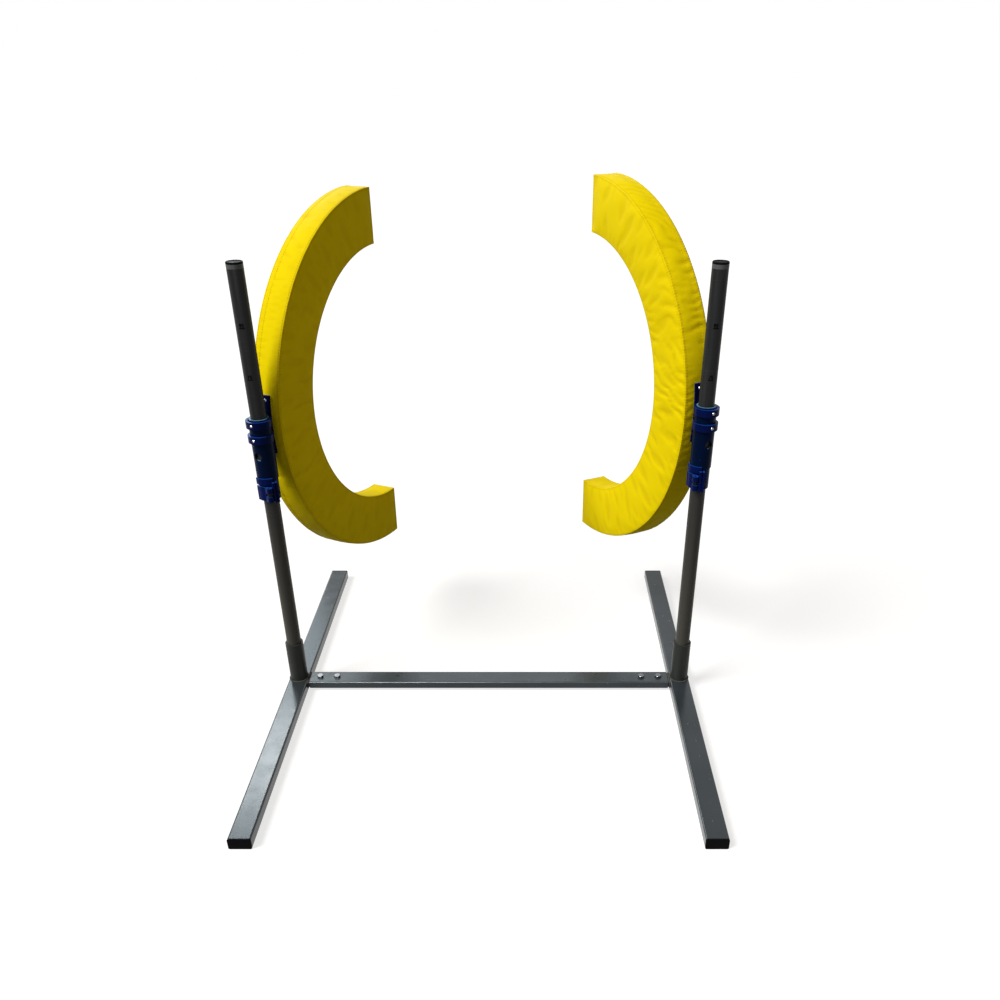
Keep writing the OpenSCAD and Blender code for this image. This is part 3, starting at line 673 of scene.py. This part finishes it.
def folds(half, seed):
    """Height of the folds over the pad's grid, in metres."""
    slack = half["slack"]
    height = np.zeros(skin.shape[:2])
    groove = -groove_depth * np.exp(-((length_along - cross_seam * length_along[-1]) / groove_width) ** 2)
    for number, side in enumerate(sides):
        mine = side_of == number
        place, width, near = along[mine][None, :], widths[number], to_seam[mine][None, :]
        u = length_along + 0 * place
        share = u / length_along[-1]
        drift = slow_noise(u, place, 0.30, seed + number)
        patchy = 0.5 + 0.5 * np.clip(slow_noise(u, place, 0.24, seed + 20 + number), -1, 1)
        short = slow_noise(u, place, 0.085, seed + 80 + number)
        gentle = gentle_height * slack * slow_noise(u, place, 0.10, seed + 40 + number)
        if number == 0:
            back_side = place if half["passage"] > 0 else width - place
            bent = outer_rim_folds(slack, u, share, place, back_side, drift, patchy, short) + groove
        elif number == 2:
            bent = inner_rim_folds(slack, u, drift, patchy)
        else:
            outer_side = place if number == 1 else width - place
            faces_passage = side.out[1] == half["passage"]
            bent = face_folds(slack, u, share, outer_side, width - outer_side, faces_passage,
                              drift, patchy, short)
            bent = bent + faces_passage * groove * window(outer_side, -0.01, groove_end, groove_width)
        free = 1 - np.exp(-(near / held_width) ** 2)
        height[:, mine] = free * (bent + gentle) + seam_gathers(slack, u, share, near, seed + 60)
    return height * soft_step(from_end / fold_fade)


patterns = {"left": folds(halves["left"], 11), "right": folds(halves["right"], 111)}
for name, pattern in patterns.items():
    print(name, "folds from", round(1000 * pattern.min(), 2), "to", round(1000 * pattern.max(), 2), "mm")

# %% [markdown]
# ## Closed skin of the pad
# The grid becomes a closed mesh: quads along the pad, and a small quad grid in each flat end, where the
# two halves meet. Both are cut from grids of point numbers, so one function makes their faces. The UV map
# is measured in metres, so that the weave keeps its size everywhere.

# %% Faces of the skin
columns = len(section)
face_cells, rim_cells = len(face_line) - 1, len(rim_line) - 1
grid_points = (rows + 1) * columns
inner_points = (rim_cells - 1) * (face_cells - 1)
# Section points round an end: outer rim, one face, inner rim and the other face
rim_steps, face_steps = np.arange(rim_cells + 1), np.arange(face_cells + 1)
end_edges = [rim_steps, rim_cells + face_steps, (rim_cells + face_cells + rim_steps)[::-1],
             ((2 * rim_cells + face_cells + face_steps) % columns)[::-1]]


def quads_of(index, first, second):
    """Quads between the points of an index grid, and a UV pair for each of their corners."""
    high, wide = index.shape[0] - 1, index.shape[1] - 1
    cells = [np.s_[i:i + high, j:j + wide] for i, j in ((0, 0), (0, 1), (1, 1), (1, 0))]
    first, second = np.broadcast_arrays(first, second)
    pairs = np.stack([first, second], -1)
    return (np.stack([index[cell] for cell in cells], -1).reshape(-1, 4),
            np.stack([pairs[cell] for cell in cells], -2).reshape(-1, 4, 2))


def end_quads(row, first_new):
    """Quads of one end: the section points of that row outside, new points inside."""
    index = np.zeros((rim_cells + 1, face_cells + 1), int)
    index[:, 0], index[-1], index[:, -1], index[0] = (row * columns + edge for edge in end_edges)
    index[1:-1, 1:-1] = first_new + np.arange(inner_points).reshape(rim_cells - 1, face_cells - 1)
    faces, pairs = quads_of(index, face_line[None, :], rim_line[:, None])
    return (faces[:, ::-1], pairs[:, ::-1]) if row else (faces, pairs)


across = np.append(along + np.append(0, np.cumsum(widths))[side_of], widths.sum())
grid_index = np.arange(rows + 1)[:, None] * columns + np.arange(columns + 1) % columns
skins = [quads_of(grid_index, length_along, across[None, :]), end_quads(0, grid_points),
         end_quads(rows, grid_points + inner_points)]
pad_faces = np.concatenate([faces for faces, _ in skins])
pad_uv = np.concatenate([pairs for _, pairs in skins]).astype(np.float32)
print(len(pad_faces), "faces in a pad's skin before it is subdivided")

# %% Mesh of a pad
end_swell = 0.0008


def end_patch(loop):
    """Points inside an end, spanned between the section points round it."""
    outer, top, inner, bottom = (loop[edge] for edge in end_edges)
    s, t = (rim_line / rim_width)[:, None, None], (face_line / face_width)[None, :, None]
    patch = ((1 - t) * outer[:, None] + t * inner[:, None] + (1 - s) * bottom[None] + s * top[None]
             - (1 - s) * (1 - t) * outer[0] - (1 - s) * t * inner[0] - s * (1 - t) * outer[-1]
             - s * t * inner[-1])
    bulge = (1 - np.abs(2 * s - 1) ** 4) * (1 - np.abs(2 * t - 1) ** 4)
    return (patch + bulge * np.array([end_swell, 0, 0]))[1:-1, 1:-1].reshape(-1, 3)


def pad_mesh(name, half, grid):
    points = np.concatenate([grid.reshape(-1, 3), end_patch(grid[0]), end_patch(grid[rows])])
    mesh = mesh_of(name, to_world(half, points).tolist(), pad_faces.tolist(),
                   material=finishes["yellow_cover"])
    mesh.uv_layers.new(name="cloth").data.foreach_set("uv", pad_uv.ravel())
    mesh.polygons.foreach_set("use_smooth", [True] * len(pad_faces))
    mesh.update()
    return mesh


print(inner_points, "points inside each end")

# %% [markdown]
# ## Letting the cloth settle
# The folds so far are drawn. Blender's Cloth makes them behave like cloth: the cover is cut a little
# larger than its foam, the seams are held, and a slight pressure stands in for the foam. In twenty
# frames the spare cloth buckles along the drawn folds. The movement is then split in a slow swell and
# the small folds on it, and both are capped, because foam keeps its shape and the bracket's strip has
# to lie on the rim.

# %% Cloth
last_frame = 20
coated_cloth = {"quality": 5, "mass": 0.3, "tension_stiffness": 20, "compression_stiffness": 20,
                "shear_stiffness": 8, "bending_stiffness": 4, "air_damping": 2, "vertex_group_mass": "seams",
                "use_pressure": True, "uniform_pressure_force": 1.5}


def settle(name, half, start, spare):
    """Positions of the pad's grid after the cloth has settled, in the half's own frame."""
    cover = add(name, pad_mesh(name, half, start))
    held = [row * columns + column for row in range(rows + 1) for column in np.flatnonzero(at_seam)]
    held += [*range(columns), *range(rows * columns, len(cover.data.vertices))]
    cover.vertex_groups.new(name="seams").add([int(point) for point in held], 1.0, "REPLACE")
    cloth = cover.modifiers.new("settle", "CLOTH")
    for setting, value in coated_cloth.items():
        setattr(cloth.settings, setting, value)
    cloth.settings.shrink_min = -spare
    cloth.settings.effector_weights.gravity = 0
    cloth.collision_settings.use_collision = False
    cloth.point_cache.frame_start, cloth.point_cache.frame_end = 1, last_frame
    for moment in range(1, last_frame + 1):
        scene.frame_set(moment)
    settled = cover.evaluated_get(bpy.context.evaluated_depsgraph_get()).to_mesh()
    points = np.empty(len(settled.vertices) * 3)
    settled.vertices.foreach_get("co", points)
    scene.frame_set(1)
    mesh = cover.data
    bpy.data.objects.remove(cover)
    bpy.data.meshes.remove(mesh)
    return to_half(half, points.reshape(-1, 3)[:grid_points]).reshape(skin.shape)


print("a cover settles in", last_frame, "frames")

# %% Settle the covers
def smoothed(field, passes, across_every=12):
    """Each side's field, averaged along the pad, and now and then across the side."""
    result = field.copy()
    for number in range(4):
        part = result[:, side_of == number]
        for step in range(passes):
            padded = np.pad(part, ((1, 1), (0, 0)), mode="edge")
            part = (padded[:-2] + 2 * part + padded[2:]) / 4
            if step % across_every == 0:
                padded = np.pad(part, ((0, 0), (1, 1)), mode="edge")
                part = (padded[:, :-2] + 2 * part + padded[:, 2:]) / 4
        result[:, side_of == number] = part
    return result


def capped(movement, slack):
    """The slow swell and the small folds of a movement, each kept low."""
    slow_share, deepest, highest, fold_height = 0.4, -0.0003, 0.0004, 0.0008
    slow = smoothed(movement, slow_passes)
    most = fold_height * slack
    return np.clip(slow_share * slow, deepest, highest) + most * np.tanh((movement - slow) / most)


drawn_share, spare_cloth, slow_passes = 0.6, 0.006, 140
settled_folds = {}
for name, half in halves.items():
    drawn = patterns[name]
    start = skin + drawn_share * drawn[..., None] * skin_out
    moved = settle(name + "_trial", half, start, spare_cloth * half["slack"])
    movement = np.einsum("ijk,ijk->ij", moved - start, skin_out)
    settled_folds[name] = drawn_share * drawn + capped(movement, half["slack"])
    print(name, "cloth moved", np.round(1000 * np.percentile(movement, (1, 50, 99)), 2), "mm")

# %% [markdown]
# ## Finishing the pads
# The strip of the bracket lies on the middle of the outer rim, so the cloth stays down there. Beside
# the back seam of the outer rim runs a narrow flap that hides the cover's closing seam. Then the skin
# is subdivided once, so that the folds turn softly.

# %% Flap and strip
flap_width, flap_height = 0.011, 0.0009
strip_low, strip_high, strip_half_width = -0.062, 0.080, 0.016
# Under the strip the rim keeps to the CAD model's 2 mm swell, less a hair
strip_swell = 0.0019
rim = side_of == 0


def with_flap_and_strip(half, height):
    """The folds, with the flap raised and the place of the strip pressed flat."""
    flap_start, flap_soft, side_soft, end_soft = 0.0005, 0.0016, 0.005, 0.010
    height = height.copy()
    back_side = along[rim] if half["passage"] > 0 else rim_width - along[rim]
    height[:, rim] += flap_height * window(back_side, flap_start, flap_width, flap_soft)[None, :]
    strip_edge, far_edge = half_thickness - strip_half_width, half_thickness + strip_half_width
    across_strip = window(along[rim], strip_edge, far_edge, side_soft)
    under_strip = window(skin[:, rim, 2], strip_low, strip_high, end_soft) * across_strip[None, :]
    flat_there = np.minimum(height[:, rim], strip_swell - swell[:, rim])
    height[:, rim] = height[:, rim] * (1 - under_strip) + flat_there * under_strip
    return height


heights = {name: with_flap_and_strip(half, settled_folds[name]) for name, half in halves.items()}
print("highest fold in mm:", {name: round(1000 * height.max(), 2) for name, height in heights.items()})

# %% Pads
def beside_seam(distance, width):
    return np.exp(-((to_seam - distance) / width) ** 2)


def store(mesh, name, grid):
    """Keep a value for each point of the grid on the mesh; points inside the ends get nought."""
    values = np.append(grid, np.zeros(2 * inner_points)).astype(np.float32)
    mesh.attributes.new(name, "FLOAT", "POINT").data.foreach_set("value", values)


def baked(carrier):
    """The object's mesh with its modifiers applied; the object itself goes."""
    seen = carrier.evaluated_get(bpy.context.evaluated_depsgraph_get())
    mesh = bpy.data.meshes.new_from_object(seen)
    bpy.data.objects.remove(carrier)
    return mesh


def hang(name, mesh, body):
    """Put a finished mesh in the scene under its name, and let it ride on a body."""
    mesh.name = name
    piece = add(name, mesh)
    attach(piece, body)
    print(name, len(mesh.polygons), "faces")
    return piece


hollow_depth, hollow_passes = 0.0009, 30
pads = {}
for name, half in halves.items():
    height = heights[name]
    mesh = pad_mesh(name + "_pad_coarse", half, skin + height[..., None] * skin_out)
    # Painted shade for the cover's colour: how deep each point lies in a fold's hollow, and a thin seam
    # line.
    hollow = np.clip((smoothed(height, hollow_passes) - height) / hollow_depth, 0, 1)
    store(mesh, "crease", (0.28 * hollow + 0.3 * beside_seam(0.0022, 0.0009)).clip(0, 1))
    # Where gathers beside a seam get their bump and their painted shade.
    store(mesh, "seam", beside_seam(0.0025, 0.0022) * soft_step(from_end / fold_fade))
    coarse = add(name + "_pad_coarse", mesh)
    rounder = coarse.modifiers.new("round", "SUBSURF")
    rounder.levels = rounder.render_levels = 1
    pads[name] = hang(name + "_pad", baked(coarse), name + "_half")
    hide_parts(name + "_cover", name + "_foam_core")

# %% [markdown]
# ## Repeating along a path
# Stitches, weld drops and screws all repeat one small shape. A Geometry Nodes tree does that well: it
# walks along the edges of a guide mesh at a set pitch, and puts a shape at each step, turned along the
# path. At the end the instances are made real and get their finish, and the result becomes a plain mesh.

# %% Row tree
def node_group(name, **inputs):
    """A Geometry Nodes tree with a guide and other named inputs, and the sockets of those."""
    tree = bpy.data.node_groups.new(name, "GeometryNodeTree")
    for label, kind in {"Guide": "Geometry", **inputs}.items():
        tree.interface.new_socket(label, in_out="INPUT", socket_type="NodeSocket" + kind)
    tree.interface.new_socket("Row", in_out="OUTPUT", socket_type="NodeSocketGeometry")
    return tree, put(tree, "NodeGroupInput").node.outputs


def end_with_copies(tree, material, values):
    """End a tree with copies on points, made real and given their finish."""
    placed = put(tree, "GeometryNodeInstanceOnPoints", values)
    real = put(tree, "GeometryNodeRealizeInstances", {0: placed})
    dressed = put(tree, "GeometryNodeSetMaterial", {"Geometry": real, "Material": material})
    put(tree, "NodeGroupOutput", {"Row": dressed})
    return tree


def row_tree(name, material):
    """Drops along the guide's edges, each a little uneven in size."""
    tree, given = node_group(name, Pitch="Float", Length="Float", Width="Float", Height="Float",
                             Unevenness="Float", Seed="Int")
    path = put(tree, "GeometryNodeMeshToCurve", {"Mesh": given["Guide"]})
    steps = put(tree, "GeometryNodeResampleCurve", {"Curve": path, "Length": given["Pitch"]}, mode="LENGTH")
    drop = put(tree, "GeometryNodeMeshUVSphere", {"Segments": 8, "Rings": 5, "Radius": 0.5})
    smooth = put(tree, "GeometryNodeSetShadeSmooth", {"Geometry": drop})
    tangent = put(tree, "GeometryNodeInputTangent")
    turn = put(tree, "FunctionNodeAlignRotationToVector", {"Vector": tangent}, axis="X")
    least = reckon(tree, "SUBTRACT", 1.0, given["Unevenness"])
    most = reckon(tree, "ADD", 1.0, given["Unevenness"])
    vary = put(tree, "FunctionNodeRandomValue", {2: least, 3: most, "Seed": given["Seed"]}, out=1,
               data_type="FLOAT")
    size = put(tree, "ShaderNodeCombineXYZ", {0: given["Length"], 1: given["Width"], 2: given["Height"]})
    scale = put(tree, "ShaderNodeVectorMath", {0: size, "Scale": vary}, operation="SCALE")
    return end_with_copies(tree, material, {"Points": steps, "Instance": smooth, "Rotation": turn,
                                            "Scale": scale})


stitch_tree = row_tree("stitch_row", finishes["sewing_thread"])
print("row tree with", len(stitch_tree.nodes), "nodes")

# %% Guides
def grown(name, guide_mesh, tree, inputs):
    """The plain mesh that a tree makes from a guide mesh."""
    carrier = add(name + "_guide", guide_mesh)
    modifier = carrier.modifiers.new("row", "NODES")
    modifier.node_group = tree
    for item in tree.interface.items_tree:
        if item.name in inputs:
            modifier[item.identifier] = inputs[item.name]
    return baked(carrier)


def guide(name, paths):
    """Mesh of open or closed paths, each a list of points; a closed one ends where it starts."""
    points, edges = [], []
    for path in paths:
        first = len(points)
        closed = np.allclose(path[0], path[-1])
        kept = path[:-1] if closed else path
        points += [tuple(p) for p in kept]
        edges += [(first + k, first + k + 1) for k in range(len(kept) - 1)]
        if closed:
            edges.append((first + len(kept) - 1, first))
    return mesh_of(name, points, edges=edges)


print("sockets of a row:", [item.name for item in stitch_tree.interface.items_tree])

# %% [markdown]
# ## Stitches
# The cover shows one row of stitches beside each seam of its rims and round both end pieces, and a second
# one where the closing flap is sewn down. A cross seam joins two lengths of cloth under the bracket. Each
# row is first laid out on the smooth pad and then dropped onto the folded cloth, so that every stitch
# lies on it.

# %% Lines of stitches
rim_inset, flap_inset, end_inset, edge_inset = 0.0035, 0.0025, 0.004, 0.001
end_share, beside_strip = 0.0032, 0.020
rows_left_out, points_across = 4, 24


def row_along(number, place):
    """A line along the pad, a distance from the start of a side, without the rows next to the ends."""
    return swept(on_side(sides[number], [place]), ring_offset)[rows_left_out:-rows_left_out, 0]


def row_across(share, number, start, stop):
    """A line across a side, part of the way along the pad."""
    radius, thick = on_side(sides[number], np.linspace(start, stop, points_across)).T
    turn = turns[0] + share * math.pi
    return np.stack([ring_offset + radius * math.cos(turn), thick, radius * math.sin(turn)], -1)


def stitch_lines(half):
    """All rows of a half, on the smooth pad."""
    front_first = half["passage"] < 0
    from_front = [rim_inset, rim_width - rim_inset, rim_width - flap_width - flap_inset]
    lines = [row_along(0, place if front_first else rim_width - place) for place in from_front]
    lines += [row_along(2, rim_inset), row_along(2, rim_width - rim_inset)]
    lines.append(row_across(cross_seam, 0, edge_inset, rim_width - edge_inset))
    if front_first:
        lines.append(row_across(cross_seam, 3, face_width - beside_strip, face_width - edge_inset))
    else:
        lines.append(row_across(cross_seam, 1, edge_inset, beside_strip))
    for share in (end_share, 1 - end_share):
        lines += [row_across(share, number, end_inset, widths[number] - end_inset) for number in range(4)]
    return lines


print(len(stitch_lines(halves["left"])), "rows on each half")

# %% Stitches
stitch = {"Pitch": stitch_pitch, "Length": 0.0042, "Width": 0.0009, "Height": 0.0009, "Unevenness": 0.08,
          "Seed": 3}
stitch_lift = 0.0001


def dropped(surface, points):
    """Points moved to the nearest place on a surface, a hair over it."""
    found = [surface.find_nearest(Vector(point)) for point in points]
    return [place + normal * stitch_lift for place, normal, _, _ in found]


for name, half in halves.items():
    cloth_surface = BVHTree.FromObject(pads[name], bpy.context.evaluated_depsgraph_get())
    paths = [dropped(cloth_surface, to_world(half, line)) for line in stitch_lines(half)]
    stitches = grown(name + "_stitches", guide(name + "_stitch_lines", paths), stitch_tree, stitch)
    hang(name + "_stitches", stitches, name + "_half")

# %% [markdown]
# ## Weld beads
# The sockets and the crossbar's stubs are welded to the feet. A weld bead is a row of overlapping
# drops, so the same tree makes it, with larger drops and more unevenness.

# %% Weld beads
weld_drop = {"Pitch": 0.0021, "Length": 0.0034, "Width": 0.0036, "Height": 0.0030, "Unevenness": 0.16,
             "Seed": 5}
socket_radius = 0.020
weld_radius, weld_rise, weld_out, ring_points = socket_radius + 0.0012, 0.0009, 0.0008, 97
weld_tree = row_tree("weld_bead", finishes["post_paint"])
weld_paths = []
for name, half in halves.items():
    angles = np.linspace(0, 2 * math.pi, ring_points)
    ring = np.stack([half["post"] + weld_radius * np.cos(angles), weld_radius * np.sin(angles),
                     np.full(ring_points, foot_top + weld_rise)], -1)
    ring[-1] = ring[0]
    low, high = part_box(name + "_crossbar_stub")
    wall = low.x + weld_out if half["post"] < 0 else high.x - weld_out
    corners = [(wall, low.y, low.z), (wall, low.y, high.z), (wall, high.y, high.z), (wall, high.y, low.z)]
    weld_paths += [ring, np.array(corners)]
hang("weld_beads", grown("weld_beads", guide("weld_lines", weld_paths), weld_tree, weld_drop),
     "base")

# %% [markdown]
# ## Screws
# Small zinc screws with a cross recess hold each bracket: two through its strip into the pad's board,
# and two through its bands into the sleeve. One screw is made by turning a profile, with the recess
# pressed into the dome. A second tree then sets a copy on each point of a guide mesh, along the
# direction stored there.

# %% One screw
def ring_quads(first, rings, segments):
    """Quads between rings of points that follow one another."""
    starts = [(first + ring * segments, k) for ring in range(rings - 1) for k in range(segments)]
    return [(start + k, start + (k + 1) % segments, start + segments + (k + 1) % segments,
             start + segments + k) for start, k in starts]


def screw_mesh(shank, segments=48):
    """A domed screw in metres that seats on z = 0, with its shank pointing down."""
    head, height, shank_r = 0.0034, 0.0022, 0.002
    recess_depth, arm_length, arm_half_width = 0.0012, 0.0023, 0.00055
    tip, under_head = 0.001, 0.00001
    dome = (head ** 2 + height ** 2) / (2 * height)
    radii = np.array([0.15, 0.35, 0.55, 0.75, 1.0, 1.3, 1.6, 1.9, 2.2, 2.5, 2.8, 3.05, 3.25, 3.4]) / 1000
    profile = [(r, math.sqrt(dome ** 2 - r ** 2) + height - dome) for r in radii]
    profile += [(shank_r, -under_head), (shank_r, -shank)]
    points = [(0, 0, height - recess_depth)]
    for r, z in profile:
        for angle in 2 * math.pi * np.arange(segments) / segments:
            x, y = r * math.cos(angle), r * math.sin(angle)
            in_arm = max(abs(x), abs(y)) < arm_length and min(abs(x), abs(y)) < arm_half_width
            points.append((x, y, z - (recess_depth if in_arm and z > 0 else 0)))
    points.append((0, 0, -shank - tip))
    faces = [(0, 1 + k, 1 + (k + 1) % segments) for k in range(segments)]
    faces += [(a, d, c, b) for a, b, c, d in ring_quads(1, len(profile), segments)]
    last = 1 + (len(profile) - 1) * segments
    faces += [(last + (k + 1) % segments, last + k, len(points) - 1) for k in range(segments)]
    return mesh_of("screw", points, faces)


shank_length = 0.0095
screw = add("screw", screw_mesh(shank_length))
print("one screw has", len(screw.data.polygons), "faces")

# %% Set the screws
def screw_tree(screw, material):
    """Copies of a screw on the guide's points, each along its heading."""
    tree, given = node_group("set_screws", Size="Float")
    model = put(tree, "GeometryNodeObjectInfo", {"Object": screw}, out="Geometry")
    heading = put(tree, "GeometryNodeInputNamedAttribute", {"Name": "heading"}, data_type="FLOAT_VECTOR")
    turn = put(tree, "FunctionNodeAlignRotationToVector", {"Vector": heading}, axis="Z")
    return end_with_copies(tree, material, {"Points": given["Guide"], "Instance": model, "Rotation": turn,
                                            "Scale": given["Size"]})


rim_top, strip_thickness = 0.420, 0.0042
band_seat, band_heights = 0.027, (0.023, -0.008)
strip_seat, strip_heights = rim_top + strip_thickness, (0.060, -0.042)
set_screws = screw_tree(screw, finishes["zinc"])
places, headings = [(-band_seat, 0, height) for height in band_heights], [(-1, 0, 0)] * 2
for height in strip_heights:
    tilt = math.asin(height / rim_top)
    places.append((ring_offset - strip_seat * math.cos(tilt), 0, strip_seat * math.sin(tilt)))
    headings.append((-math.cos(tilt), 0, math.sin(tilt)))
for name, half in halves.items():
    mesh = mesh_of(name + "_screw_points", to_world(half, np.array(places)).tolist())
    turned = np.array(headings) @ half["frame"][:3, :3].T
    mesh.attributes.new("heading", "FLOAT_VECTOR", "POINT").data.foreach_set("vector", turned.ravel())
    screws = hang(name + "_screws", grown(name + "_screws", mesh, set_screws, {"Size": 1.0}),
                  name + "_half")
    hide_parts(name + "_band_screws", name + "_bracket_screws")
bpy.data.objects.remove(screw)

# %% [markdown]
# ## Dots on the sleeves
# Two small raised dots stand over one another on each sleeve, left there by the mould. Each is a low
# dome, so a few rings of points round the direction in which it looks are enough.

# %% Sleeve dots
sleeve_radius, dot_azimuth, dot_heights = 0.022, math.radians(139), (-0.021, -0.077)
dot_rings, dot_segments = [(0.0016, -0.0003), (0.0015, 0.0001), (0.0011, 0.0003), (0.0005, 0.0004)], 16


def sleeve_dots(half):
    out = np.array((math.cos(dot_azimuth), math.sin(dot_azimuth), 0))
    sideways, up = np.array((-out[1], out[0], 0)), np.array((0, 0, 1))
    points, faces = [], []
    for height in dot_heights:
        first = len(points)
        for radius, proud in dot_rings:
            for angle in 2 * math.pi * np.arange(dot_segments) / dot_segments:
                points.append((sleeve_radius + proud) * out + radius * math.cos(angle) * sideways
                              + (height + radius * math.sin(angle)) * up)
        faces += ring_quads(first, len(dot_rings), dot_segments)
        faces += [tuple(range(len(points) - dot_segments, len(points))),
                  tuple(reversed(range(first, first + dot_segments)))]
    placed = to_world(half, np.array(points)).tolist()
    # The dots take the bands' brighter blue, a painted highlight that sets them off from the sleeve.
    return mesh_of("dots", placed, faces, material=finishes["blue_plastic"])


for name, half in halves.items():
    hang(name + "_sleeve_dots", sleeve_dots(half), name + "_half")

# %% [markdown]
# ## Height marks
# Each post has a short black line every ten centimetres with its height over it, so that both sides can
# be set alike; the lower ones hide behind the sleeve. The figures are Blender's own font made into a
# mesh and bent round the post, a tenth of a millimetre proud, which leaves room for the sleeve. A back
# inside the tube's wall and a narrow edge make each one a closed shape.

# %% Flat marks
def mix_ink():
    ink = Finish("mark_ink", 0.8, 0.0)
    ink.wear({"Base Color": ink.ramp(ink.noise(400, 4), 0.3, (0.0005, 0.0005, 0.0006),
                                     0.75, (0.003, 0.003, 0.003))})


line_length, line_half_width, line_cells = 0.011, 0.0010, 12
figure_size, figure_weight = 0.0095, 0.0003


def flat_line():
    """Points and faces of a short line, cut in cells so that it can bend."""
    points = [(line_length * (k / line_cells - 0.5), y, 0) for k in range(line_cells + 1)
              for y in (-line_half_width, line_half_width)]
    return points, [(2 * k, 2 * k + 2, 2 * k + 3, 2 * k + 1) for k in range(line_cells)]


def flat_figure(text):
    """Points and faces of a figure in Blender's own font."""
    curve = bpy.data.curves.new("figure", "FONT")
    curve.body, curve.size, curve.align_x = text, figure_size, "CENTER"
    curve.offset, curve.resolution_u = figure_weight, 3
    mesh = baked(add("figure", curve))
    points, faces = [tuple(v.co) for v in mesh.vertices], [tuple(p.vertices) for p in mesh.polygons]
    bpy.data.curves.remove(curve)
    bpy.data.meshes.remove(mesh)
    return points, faces


mix_ink()
print("a line has", len(flat_line()[0]), "points")

# %% Height marks
mark_radius, mark_root = 0.0161, 0.0158
marked_heights, figure_rise = (85, 75, 65, 55), 0.0024


def marks_on(centre):
    """All marks of a post."""
    points, faces = [], []

    def wrap(flat, flat_faces, height):
        """Bend a flat shape round the post and close it."""
        front, back = len(points), len(points) + len(flat)
        for radius in (mark_radius, mark_root):
            for x, y, _ in flat:
                angle = x / mark_radius
                points.append((centre + radius * math.sin(angle), -radius * math.cos(angle), height + y))
        edges = {(a, b) for face in flat_faces for a, b in zip(face, face[1:] + face[:1])}
        open_edges = [(a, b) for a, b in sorted(edges) if (b, a) not in edges]
        faces.extend(tuple(front + i for i in face) for face in flat_faces)
        faces.extend(tuple(back + i for i in reversed(face)) for face in flat_faces)
        faces.extend((front + b, front + a, back + a, back + b) for a, b in open_edges)

    for centimetres in marked_heights:
        wrap(*flat_line(), centimetres / 100)
        wrap(*flat_figure(str(centimetres)), centimetres / 100 + figure_rise)
    return mesh_of("marks", points, faces, material=finishes["mark_ink"])


for name, half in halves.items():
    hang(name + "_height_marks", marks_on(half["post"]), "base")

# %% [markdown]
# The dressed model has to stay within the CAD model's box, apart from a little for cloth.
